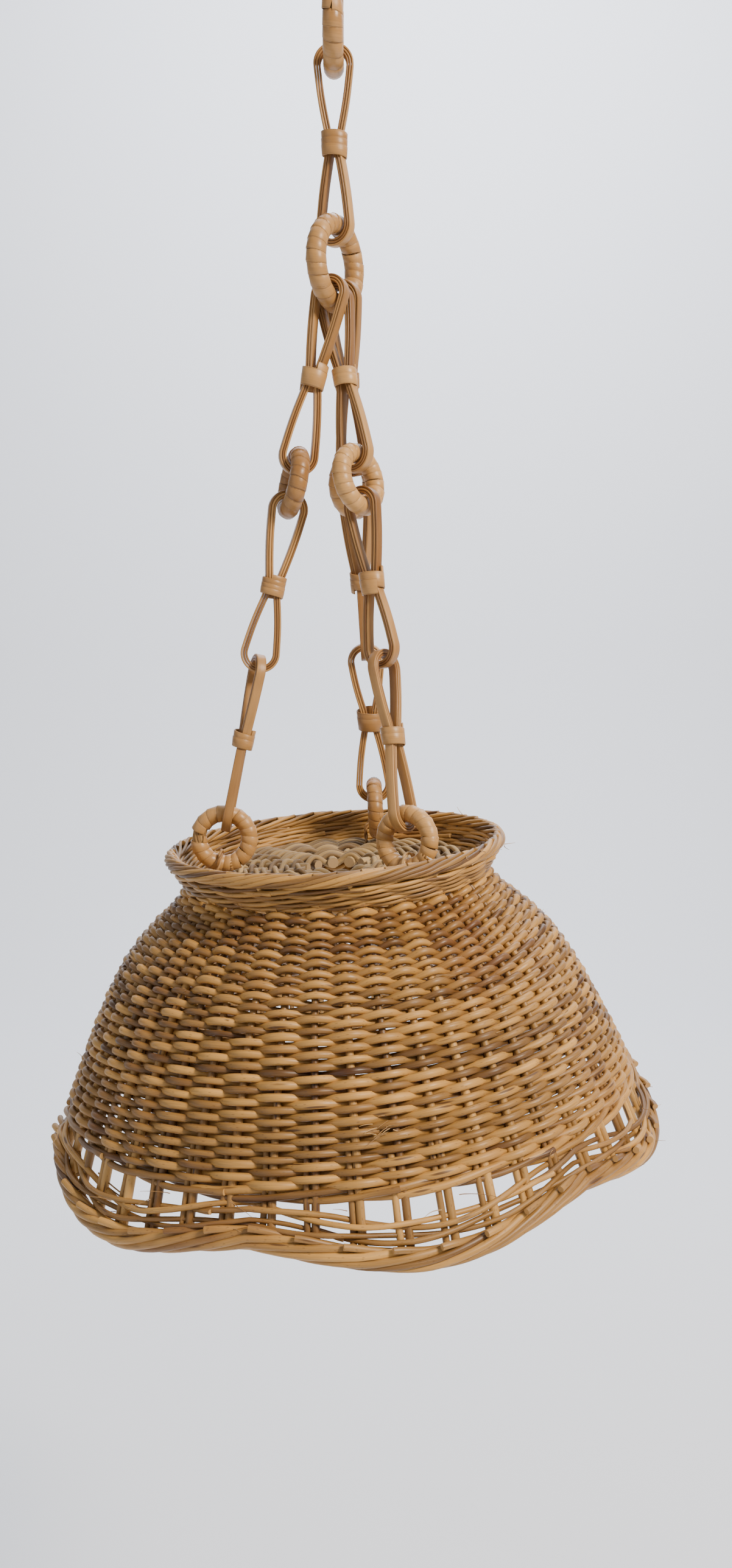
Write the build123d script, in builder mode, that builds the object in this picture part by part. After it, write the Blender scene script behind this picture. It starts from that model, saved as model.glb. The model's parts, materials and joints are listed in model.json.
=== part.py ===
# A woven willow bell basket that hangs mouth down from three cane chains and one top ring.

import os
from math import cos, radians, sin, sqrt

from build123d import *

# The hanging point is the origin: the inside of the top ring, where a hook carries it.

# Wrapped rings: radius of the tube's centre line, and of the tube
eye_radius = 21.0            # top ring and junction ring
eye_tube = 6.0
chain_ring_radius = 14.75    # the ring halfway down each chain
chain_ring_tube = 5.75
base_ring_radius = 14.25     # the ring that stands on the basket's base
base_ring_tube = 5.25
wrap_thickness = 1.1
slipped_wrap_gap = 24.0      # degrees of bare core on the left base ring

# Cane links: a strip bent into a figure of eight and bound in the middle
strip_thickness = 4.0
strip_width = 5.4
loop_inner_radius = 7.0
leg_gap = 1.6                # half the gap between the legs where they enter the binding
bundle_radius = 6.3
binding_thickness = 1.1
binding_height = 15.0
upper_link_pitch = 84.0
ring_seat_gap = 0.9          # from a ring's tube to the strip that carries it
swing_seat_gap = 1.6         # the same at a ring that tilts in its loop
strip_seat_gap = 2.4         # where two strips hook into each other

# Headings of the rings' planes, in degrees from +X towards +Y
top_heading = 90.0
junction_heading = 61.3

# Basket
basket_drop = 630.2          # from the hanging point to the basket's lower plane
basket_shift = (5.5, 2.1)
lean_sideways = 3.2
lean_forward = 1.95
stake_count = 48
stake_radius = 2.3
bye_stake_radius = 1.9
wall = 7.2
base_top = 155.0
base_thickness = 8.0
base_radius = 80.6
hole_radius = 18.0
base_stick_count = 12
base_stick_radius = 3.5
neck_height = 147.6
neck_radius = 88.0
rim_height = 165.0
rim_radius = 94.0
rim_tube = 5.2
wale_height = 33.4
wale_radius = 159.0
wale_tube = 4.4
scallop_count = 8
scallop_phase = 278.5        # heading of one scallop's lowest point
scallop_depth = 6.5
border_radius = 172.0
border_tube = 5.0
border_height = 5.4
fitch_tube = 2.9
fitches = {"upper_fitch": (166.6, 12.9), "lower_fitch": (169.4, 7.2)}   # radius, and height over the border
flare = 0.3                  # how far the skirt's edge moves in as it rises
bow_overlap = 0.1            # a joint between two bows is this much thicker than the rod
bye_stake_shift = 1.45       # degrees from a stake to the shorter rod beside it
tie_radius = 1.1
tie_depth = 8.0
play = 0.6                   # between the base and what stands on it

# Where each chain starts on the junction ring and ends on the base
# side: (offset along the junction ring, seat above the tube's centre, heading and radius on the base)
chain_feet = {
    "left": (-7.6, 8.9, 188.4, 67.0),
    "right": (-1.2, 7.0, 308.4, 67.0),
    "back": (8.0, 9.1, 68.4, 67.0),
}
# Headings down each chain: link 1 top and bottom, ring, link 2, link 3, base ring
chain_headings = {
    "left": (junction_heading - 90, 14, 104, 14, 6, 108, 92, 2),
    "right": (junction_heading - 90, -36, 54, -36, -40, 50, 56, -34),
    "back": (junction_heading - 90, -40, 50, -40, -90, 0, 0, 90),
}

os.makedirs("parts", exist_ok=True)


def save(piece, label):
    piece.part.label = label
    export_step(piece.part, f"parts/{label}.step")


# Chains

def heading_vector(heading):
    return Vector(cos(radians(heading)), sin(radians(heading)), 0)


def across(heading, line):
    """The direction nearest a heading that is square to a line."""
    flat = heading_vector(heading)
    return (flat - line * flat.dot(line)).normalized()


def ring_plane(centre, heading, line):
    """The plane that a ring lies in: x along its tube at top and bottom, y down the line."""
    side = across(heading, line)
    return Plane(centre, x_dir=side, z_dir=side.cross(line))


def make_ring(label, plane, ring_radius, tube_radius, bare=0.0):
    """A straw core and the cane strip wound over it, with an optional bare stretch."""
    core_radius = tube_radius - wrap_thickness
    section = Plane(plane.origin, x_dir=plane.x_dir, z_dir=plane.y_dir)
    axis = Axis(plane.origin, plane.z_dir)
    with BuildPart() as core:
        with BuildSketch(section):
            with Locations((ring_radius, 0)):
                Circle(core_radius)
        revolve(axis=axis)
    save(core, f"{label}_core")

    start_way = plane.x_dir.rotate(Axis((0, 0, 0), plane.z_dir), 180 + bare / 2)
    wrap_section = Plane(plane.origin, x_dir=start_way, z_dir=plane.z_dir.cross(start_way))
    with BuildPart() as wrap:
        with BuildSketch(wrap_section):
            with Locations((ring_radius, 0)):
                Circle(tube_radius)
                Circle(core_radius, mode=Mode.SUBTRACT)
        revolve(axis=axis, revolution_arc=360 - bare)
    save(wrap, f"{label}_wrap")


def loop_outlines(middle, away, heading, seat):
    """The outside and the eye of one loop of a link, from its middle to the end of its bend."""
    side = across(heading, away)
    plane = Plane(middle, x_dir=side, z_dir=side.cross(away))
    bend = seat - loop_inner_radius
    start = binding_height / 2
    leg_outside = leg_gap + strip_thickness
    with BuildSketch(plane) as outside:
        with BuildLine():
            CenterArc((0, bend), loop_inner_radius + strip_thickness, 0, 360)
            Line((-leg_outside, start), (leg_outside, start))
        make_hull()
    with BuildSketch(plane) as eye:
        with BuildLine():
            CenterArc((0, bend), loop_inner_radius, 0, 360)
            Line((-leg_gap, start), (leg_gap, start))
        make_hull()
    return outside.sketch, eye.sketch


def make_link(label, middle, line, headings, seats):
    """A figure-of-eight link and its binding, with its top and bottom loops."""
    top_outside, top_eye = loop_outlines(middle, -line, headings[0], seats[0])
    bottom_outside, bottom_eye = loop_outlines(middle, line, headings[1], seats[1])
    with BuildPart() as link:
        extrude(top_outside, amount=strip_width / 2, both=True)
        extrude(bottom_outside, amount=strip_width / 2, both=True)
        extrude(top_eye, amount=strip_width, both=True, mode=Mode.SUBTRACT)
        extrude(bottom_eye, amount=strip_width, both=True, mode=Mode.SUBTRACT)
        with BuildSketch(Plane(middle, z_dir=line)):
            Circle(bundle_radius)
        extrude(amount=binding_height / 2, both=True)
    save(link, label)

    with BuildPart() as binding:
        with BuildSketch(Plane(middle, z_dir=line)):
            Circle(bundle_radius + binding_thickness)
            Circle(bundle_radius, mode=Mode.SUBTRACT)
        extrude(amount=binding_height / 2, both=True)
    save(binding, f"{label}_binding")


down = Vector(0, 0, -1)
top_centre = down * (eye_radius - eye_tube)
upper_hang = top_centre + down * eye_radius
junction_hang = upper_hang + down * upper_link_pitch
junction_centre = junction_hang + down * eye_radius
junction_foot = junction_centre + down * eye_radius

make_ring("top_ring", ring_plane(top_centre, top_heading, down), eye_radius, eye_tube)
make_ring("junction_ring", ring_plane(junction_centre, junction_heading, down), eye_radius, eye_tube)
make_link(
    "upper_link",
    upper_hang + down * (upper_link_pitch / 2),
    down,
    (top_heading - 90, junction_heading - 90),
    (upper_link_pitch / 2 + eye_tube + ring_seat_gap, upper_link_pitch / 2 + eye_tube + swing_seat_gap),
)

# The basket's own frame: it hangs a little out of plumb

lean_x, lean_y = radians(lean_sideways), radians(lean_forward)
basket_frame = Plane(
    (basket_shift[0], basket_shift[1], -basket_drop),
    x_dir=(cos(lean_x), 0, sin(lean_x)),
    z_dir=(-sin(lean_x) * cos(lean_y), -sin(lean_y), cos(lean_x) * cos(lean_y)),
)
basket_axis = Axis(basket_frame.origin, basket_frame.z_dir)


def basket_point(radius, heading, height):
    x = radius * cos(radians(heading))
    y = radius * sin(radians(heading))
    return basket_frame.from_local_coords(Vector(x, y, height))


def axial_plane(heading):
    """The plane through the basket's axis at a heading: x is the radius, y is the height."""
    outward = (basket_point(1, heading, 0) - basket_frame.origin).normalized()
    return Plane(basket_frame.origin, x_dir=outward, z_dir=outward.cross(basket_frame.z_dir))


# The three chains, each a link, a ring, two links and a ring on the base

base_ring_places = {}
for side, (offset, seat, foot_heading, foot_radius) in chain_feet.items():
    rise = eye_radius - sqrt(eye_radius**2 - offset**2)
    start = junction_foot + heading_vector(junction_heading) * offset + Vector(0, 0, rise)
    end = basket_point(foot_radius, foot_heading, base_top + base_ring_tube + play)
    line = (end - start).normalized()
    rings = 2 * chain_ring_radius + 2 * base_ring_radius
    pitch = ((end - start).length - rings) / 3
    heads = chain_headings[side]

    ring_top = start + line * pitch
    ring_centre = ring_top + line * chain_ring_radius
    ring_foot = ring_centre + line * chain_ring_radius
    hook = ring_foot + line * pitch
    base_ring_top = hook + line * pitch
    base_ring_centre = base_ring_top + line * base_ring_radius
    base_ring_places[side] = (line, base_ring_centre)

    half = pitch / 2
    on_ring = half + chain_ring_tube + ring_seat_gap
    on_base_ring = half + base_ring_tube + ring_seat_gap
    on_strip = half + strip_seat_gap / 2
    make_link(f"{side}_link_1", start + line * half, line, heads[0:2], (half + seat, on_ring))
    make_ring(f"{side}_ring", ring_plane(ring_centre, heads[2], line), chain_ring_radius, chain_ring_tube)
    make_link(f"{side}_link_2", ring_foot + line * half, line, heads[3:5], (on_ring, on_strip))
    make_link(f"{side}_link_3", hook + line * half, line, heads[5:7], (on_strip, on_base_ring))
    make_ring(
        f"{side}_base_ring",
        ring_plane(base_ring_centre, heads[7], line),
        base_ring_radius,
        base_ring_tube,
        slipped_wrap_gap if side == "left" else 0.0,
    )

# Base

with BuildPart() as base_weaving:
    with BuildSketch(axial_plane(0)):
        with BuildLine():
            Polyline(
                (hole_radius, base_top + 1.5),
                (hole_radius, base_top + 1.5 - base_thickness),
                (base_radius, base_top - 2 - base_thickness + 1),
                (base_radius, base_top - 2),
            )
            ThreePointArc(
                (base_radius, base_top - 2),
                ((base_radius + hole_radius) / 2, base_top + 0.6),
                (hole_radius, base_top + 1.5),
            )
        make_face()
    revolve(axis=basket_axis)
save(base_weaving, "base_weaving")

with BuildPart() as base_sticks:
    for number in range(base_stick_count):
        heading = number * 360 / base_stick_count + 7.5
        inner = basket_point(hole_radius + play, heading, base_top - base_thickness / 2)
        outward = (basket_point(1, heading, 0) - basket_frame.origin).normalized()
        with BuildSketch(Plane(inner, z_dir=outward)):
            Circle(base_stick_radius)
        extrude(amount=base_radius - hole_radius - 2)
save(base_sticks, "base_sticks")

# Sides and scalloped skirt

# Bends of the wall, as radius and height, from the wale up to the neck: outside, then inside
side_outside = [(160.2, 38.0), (147.6, 70.0), (128.0, 106.3), (110.6, 125.4), (neck_radius, neck_height)]
side_inside = [(152.6, 38.0), (141.0, 66.5), (122.2, 102.0), (105.4, 120.4), (neck_radius - wall, 141.0)]

with BuildPart() as side_weaving:
    with BuildSketch(axial_plane(0)):
        with BuildLine():
            ThreePointArc(*side_outside[:3])
            ThreePointArc(*side_outside[2:])
            Line(side_outside[4], side_inside[4])
            ThreePointArc(*side_inside[2:])
            ThreePointArc(*side_inside[:3])
            Line(side_outside[0], side_inside[0])
        make_face()
    revolve(axis=basket_axis)
save(side_weaving, "side_weaving")

with BuildPart() as one_stake:
    with BuildLine(axial_plane(0)):
        stake_path = FilletPolyline(
            (neck_radius - wall / 2, neck_height - 3),
            (113.0, 118.4),
            (141.5, 74.5),
            (155.8, wale_height + 5),
            radius=70,
        )
    with BuildSketch(Plane(stake_path @ 0, z_dir=stake_path % 0)):
        Circle(stake_radius)
    sweep(path=stake_path)

stake_angles = [number * 360 / stake_count for number in range(stake_count)]
side_stakes = BuildPart()
with side_stakes:
    add([one_stake.part.rotate(basket_axis, angle) for angle in stake_angles])
save(side_stakes, "side_stakes")


scallop_arc = 360 / scallop_count


def scallop(heading):
    """How far the skirt's edge rises or falls at a heading: each scallop is one sagging bow."""
    from_middle = (heading - scallop_phase + scallop_arc / 2) % scallop_arc - scallop_arc / 2
    return scallop_depth * (8 * (from_middle / scallop_arc) ** 2 - 1)


def scalloped_hoop(radius, height, tube):
    """A closed ring of rod made of one sagging bow for each scallop."""

    def edge(heading):
        return basket_point(radius - flare * scallop(heading), heading, height + scallop(heading))

    with BuildPart() as ring:
        for number in range(scallop_count):
            middle = scallop_phase + number * scallop_arc
            with BuildLine():
                bow = ThreePointArc(
                    edge(middle - scallop_arc / 2), edge(middle), edge(middle + scallop_arc / 2 - 0.0001)
                )
            with BuildSketch(Plane(bow @ 0, z_dir=bow % 0)):
                Circle(tube)
            sweep()
            add(Sphere(tube + bow_overlap, mode=Mode.PRIVATE).moved(Location(bow @ 0)))
    return ring


with BuildPart() as skirt_wale:
    with BuildSketch(axial_plane(0)):
        with Locations((wale_radius, wale_height)):
            Circle(wale_tube)
    revolve(axis=basket_axis)
save(skirt_wale, "skirt_wale")
for label, (radius, over_border) in fitches.items():
    save(scalloped_hoop(radius, border_height + over_border, fitch_tube), label)
save(scalloped_hoop(border_radius, border_height - play, border_tube), "scallop_border")

with BuildPart() as skirt_uprights:
    for angle in stake_angles:
        foot = border_height + scallop(angle)
        for shift, radius in ((0.0, stake_radius), (-bye_stake_shift, bye_stake_radius)):
            top = basket_point(wale_radius - 0.6, angle + shift, wale_height + 3)
            bottom = basket_point(border_radius - flare * scallop(angle) - 1, angle + shift, foot + 1)
            with BuildSketch(Plane(top, z_dir=bottom - top)):
                Circle(radius)
            extrude(amount=(bottom - top).length)
save(skirt_uprights, "skirt_uprights")

# Collar

with BuildPart() as collar_weaving:
    with BuildSketch(axial_plane(0)):
        with BuildLine():
            Polyline(
                (neck_radius - wall, neck_height + 0.05),
                (neck_radius, neck_height + 0.05),
                (rim_radius + 2.6, rim_height - rim_tube + 0.9),
                (rim_radius - 4.0, rim_height - rim_tube + 1.9),
                close=True,
            )
        make_face()
    revolve(axis=basket_axis)
save(collar_weaving, "collar_weaving")

with BuildPart() as rim_border:
    with BuildSketch(axial_plane(0)):
        with Locations((rim_radius, rim_height)):
            Circle(rim_tube)
    revolve(axis=basket_axis)
save(rim_border, "rim_border")

with BuildPart() as collar_stakes:
    for angle in stake_angles:
        bottom = basket_point(neck_radius - wall / 2 + 0.2, angle + 3.75, neck_height + 0.4)
        top = basket_point(rim_radius - 0.8, angle + 3.75, rim_height)
        with BuildSketch(Plane(bottom, z_dir=top - bottom)):
            Circle(stake_radius - 0.3)
        extrude(amount=(top - bottom).length)
save(collar_stakes, "collar_stakes")

# Ties that hold the base rings down

for side, (line, base_ring_centre) in base_ring_places.items():
    foot = base_ring_centre + line * base_ring_radius
    heading = chain_headings[side][7]
    side_way = across(heading - 90, line)
    plane = Plane(foot, x_dir=side_way, z_dir=side_way.cross(-line))
    reach = base_ring_tube + 0.7 + tie_radius
    with BuildPart() as tie:
        with BuildLine(plane):
            Line((reach, -tie_depth), (reach, 0))
            CenterArc((0, 0), reach, 0, 180)
            Line((-reach, 0), (-reach, -tie_depth))
        with BuildSketch(Plane(plane.from_local_coords((reach, -tie_depth)), z_dir=-line)):
            Circle(tie_radius)
        sweep()
    save(tie, f"{side}_tie")
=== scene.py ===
import json
import math
import random
import bpy
from mathutils import Matrix, Vector


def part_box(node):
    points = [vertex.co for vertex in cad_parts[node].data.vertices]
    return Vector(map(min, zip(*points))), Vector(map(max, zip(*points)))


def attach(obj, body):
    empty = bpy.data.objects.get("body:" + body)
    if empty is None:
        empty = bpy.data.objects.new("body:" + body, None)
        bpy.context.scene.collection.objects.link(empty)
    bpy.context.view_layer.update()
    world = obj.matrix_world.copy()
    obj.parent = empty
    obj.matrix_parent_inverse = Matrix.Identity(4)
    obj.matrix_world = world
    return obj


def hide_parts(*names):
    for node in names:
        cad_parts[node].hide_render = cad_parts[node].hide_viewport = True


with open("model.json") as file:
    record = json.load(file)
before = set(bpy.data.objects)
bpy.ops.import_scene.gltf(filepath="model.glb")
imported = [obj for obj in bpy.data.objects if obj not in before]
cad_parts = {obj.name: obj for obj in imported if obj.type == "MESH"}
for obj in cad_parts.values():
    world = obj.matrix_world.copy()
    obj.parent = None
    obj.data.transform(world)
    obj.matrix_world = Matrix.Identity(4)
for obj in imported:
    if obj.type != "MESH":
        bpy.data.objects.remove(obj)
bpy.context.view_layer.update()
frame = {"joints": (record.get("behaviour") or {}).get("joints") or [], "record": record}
mm = 0.001
record = frame["record"]
joints = {joint["name"]: joint for joint in frame["joints"]}


def addNode(tree, kind, inputs=None, **settings):
    node = tree.nodes.new(kind)
    for name, value in settings.items():
        setattr(node, name, value)
    for key, value in (inputs or {}).items():
        socket = node.inputs[key]
        if isinstance(value, bpy.types.Node):
            value = value.outputs[0]
        if isinstance(value, bpy.types.NodeSocket):
            tree.links.new(value, socket)
        else:
            socket.default_value = value
    return node


def linearColour(text):  # sRGB hex to linear RGBA
    parts = [int(text[i:i + 2], 16) / 255 for i in (1, 3, 5)]
    return [c / 12.92 if c <= 0.04045 else ((c + 0.055) / 1.055) ** 2.4 for c in parts] + [1.0]


# camera, where the viewer stood: just under the junction of the chains, looking slightly down
eye = {"place": (14.5, -765.9, -343.2), "pitch": 6.51, "roll": -0.46, "lens": 30.606, "sensor": 36.0}


def setCamera():
    data = bpy.data.cameras.new("viewer")
    data.sensor_fit = "AUTO"
    data.sensor_width = eye["sensor"]
    data.lens = eye["lens"]
    data.clip_start, data.clip_end = 0.01, 60
    camera = bpy.data.objects.new("viewer", data)
    bpy.context.scene.collection.objects.link(camera)
    pitch, roll = math.radians(eye["pitch"]), math.radians(eye["roll"])
    ahead = Vector((0, math.cos(pitch), -math.sin(pitch)))
    level, above = Vector((1, 0, 0)), Vector((0, math.sin(pitch), math.cos(pitch)))
    right = level * math.cos(roll) + above * math.sin(roll)
    up = above * math.cos(roll) - level * math.sin(roll)
    place = Matrix((right, up, -ahead)).transposed().to_4x4()
    place.translation = Vector(eye["place"]) * mm
    camera.matrix_world = place
    bpy.context.scene.camera = camera


# studio: pale floor and wall, window light from the right and above, soft fill from the left
# a wide lamp high behind the basket lights only the backdrop
wallLamp = {"place": (0.3, 1.5, 1.9), "aim": (0.2, 3.4, 0.9), "size": 2.0, "watts": 150.0, "colour": "#f1f5ff"}
studio = {"floor": -1.3, "wall": 3.4, "size": 16.0, "bend": 0.9, "shade": "#eef0f4", "sky": "#eef2f8", "skyPower": 0.42}
lamps = [  # place, aimed at the basket, size, watts, colour
    ((1.5, -1.3, 1.0), 0.6, 96.0, "#fff0dc"),
    ((-1.7, -1.2, 0.1), 1.6, 7.0, "#f2f4fb"),
    ((0.4, 0.9, 1.3), 1.4, 30.0, "#f6f9ff"),
]


def setStudio():
    size, floor, wall, bend = studio["size"], studio["floor"], studio["wall"], studio["bend"]
    arc = [(wall - bend + bend * math.sin(a), floor + bend - bend * math.cos(a))
           for a in [math.pi / 2 * i / 12 for i in range(13)]]
    section = [(-size, floor)] + arc + [(wall, floor + size)]
    points = [(x, y, z) for y, z in section for x in (-size, size)]
    faces = [(2 * i, 2 * i + 1, 2 * i + 3, 2 * i + 2) for i in range(len(section) - 1)]
    mesh = bpy.data.meshes.new("backdrop")
    mesh.from_pydata(points, [], faces)
    for face in mesh.polygons:
        face.use_smooth = True
    backdrop = bpy.data.objects.new("backdrop", mesh)
    bpy.context.scene.collection.objects.link(backdrop)
    paper = bpy.data.materials.new("matt backdrop paper")
    paper.use_nodes = True
    shader = paper.node_tree.nodes["Principled BSDF"]
    shader.inputs["Base Color"].default_value = linearColour(studio["shade"])
    shader.inputs["Roughness"].default_value = 0.95
    mesh.materials.append(paper)
    world = bpy.data.worlds.new("soft sky")
    bpy.context.scene.world = world
    world.use_nodes = True
    sky = world.node_tree.nodes["Background"]
    sky.inputs["Color"].default_value = linearColour(studio["sky"])
    sky.inputs["Strength"].default_value = studio["skyPower"]
    basketMiddle = (0, 0, -0.45)
    every = [(place, basketMiddle, size, watts, colour) for place, size, watts, colour in lamps]
    every.append(tuple(wallLamp[key] for key in ("place", "aim", "size", "watts", "colour")))
    for number, (place, aim, size, watts, colour) in enumerate(every):
        data = bpy.data.lights.new(f"window_{number}", "AREA")
        data.size, data.energy, data.color = size, watts, linearColour(colour)[:3]
        lamp = bpy.data.objects.new(f"window_{number}", data)
        bpy.context.scene.collection.objects.link(lamp)
        lamp.location = place
        lamp.rotation_euler = (Vector(aim) - Vector(place)).to_track_quat("-Z", "Y").to_euler()


# finishes. Every rod and strip carries: grain (metres along it and across its section), tone (0 to 1 per rod), cutEnd
willowLooks = {
    # peeled and boiled willow, woven damp: honey tan that differs rod by rod, silky along the grain, small bud scars
    "boiled willow, weavers": {
        "tones": ("#46280b", "#7c4e19", "#a8722b", "#d19d50"), "stain": "#6b3716", "stainShare": 0.42,
        "fibre": 0.22, "roughness": (0.38, 0.58), "pith": "#b98f55", "scar": "#3c200c", "sheen": 0.02},
    # the same willow in the thicker uprights, a little paler where it was shaded
    "boiled willow, stakes": {
        "tones": ("#55330f", "#86571d", "#b07b34", "#d5a45a"), "stain": "#6b3716", "stainShare": 0.30,
        "fibre": 0.20, "roughness": (0.40, 0.58), "pith": "#be955b", "scar": "#3c200c", "sheen": 0.02},
    # willow in the base, greyed by dust and light, dull
    "weathered willow, base": {
        "tones": ("#5f472b", "#846439", "#a07f4c", "#b89863"), "stain": "#5d4328", "stainShare": 0.30,
        "fibre": 0.2, "roughness": (0.62, 0.82), "pith": "#a88a60", "scar": "#46301a", "sheen": 0.05},
    # bundle of dry straw inside the rings, brown and matt
    "dry straw, ring core": {
        "tones": ("#6e4b26", "#94693a", "#ab8049", "#c1985d"), "stain": "#53351a", "stainShare": 0.3,
        "fibre": 0.3, "roughness": (0.7, 0.85), "pith": "#a9834f", "scar": "#40280f", "sheen": 0.0},
    # split willow tie, the pith side outwards: paler, furry
    "split willow, ties": {
        "tones": ("#865a2a", "#ab7b40", "#c39655", "#d6b076"), "stain": "#774320", "stainShare": 0.2,
        "fibre": 0.26, "roughness": (0.55, 0.75), "pith": "#cfa871", "scar": "#5a361a", "sheen": 0.0},
}
caneLooks = {
    # split willow skein round the rings, skin side out: smooth, waxy, close in tone from turn to turn; its edges
    # darkened as painted shade in the gaps between turns
    "willow skein, wound": {
        "tones": ("#74481a", "#9a672b", "#b4803e", "#cd9c5c"), "stain": "#834b1f", "stainShare": 0.34,
        "fibre": 0.12, "roughness": (0.32, 0.48), "edge": "#301a08", "edgeShadeWidth": 0.16, "sheen": 0.02},
    # bent splits of the links: waxy skin on the flat, edges darkened as painted shade between the plies
    "willow splits, links": {
        "tones": ("#6f451a", "#94632a", "#ae7a3c", "#c9985a"), "stain": "#7b461d", "stainShare": 0.34,
        "fibre": 0.15, "roughness": (0.34, 0.50), "edge": "#331c09", "edgeShadeWidth": 0.12, "sheen": 0.02},
}
fibreGrain = (70.0, 2300.0, 2300.0)     # per metre: fibres 14 mm long and 0.4 mm apart, as coarse as they need to show
patchGrain = (16.0, 90.0, 90.0)         # patches 60 mm along a rod
scarGrain = (26.0, 210.0, 210.0)        # a bud scar about every 40 mm
speckGrain = (240.0, 700.0, 700.0)      # specks 2 mm long


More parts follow.
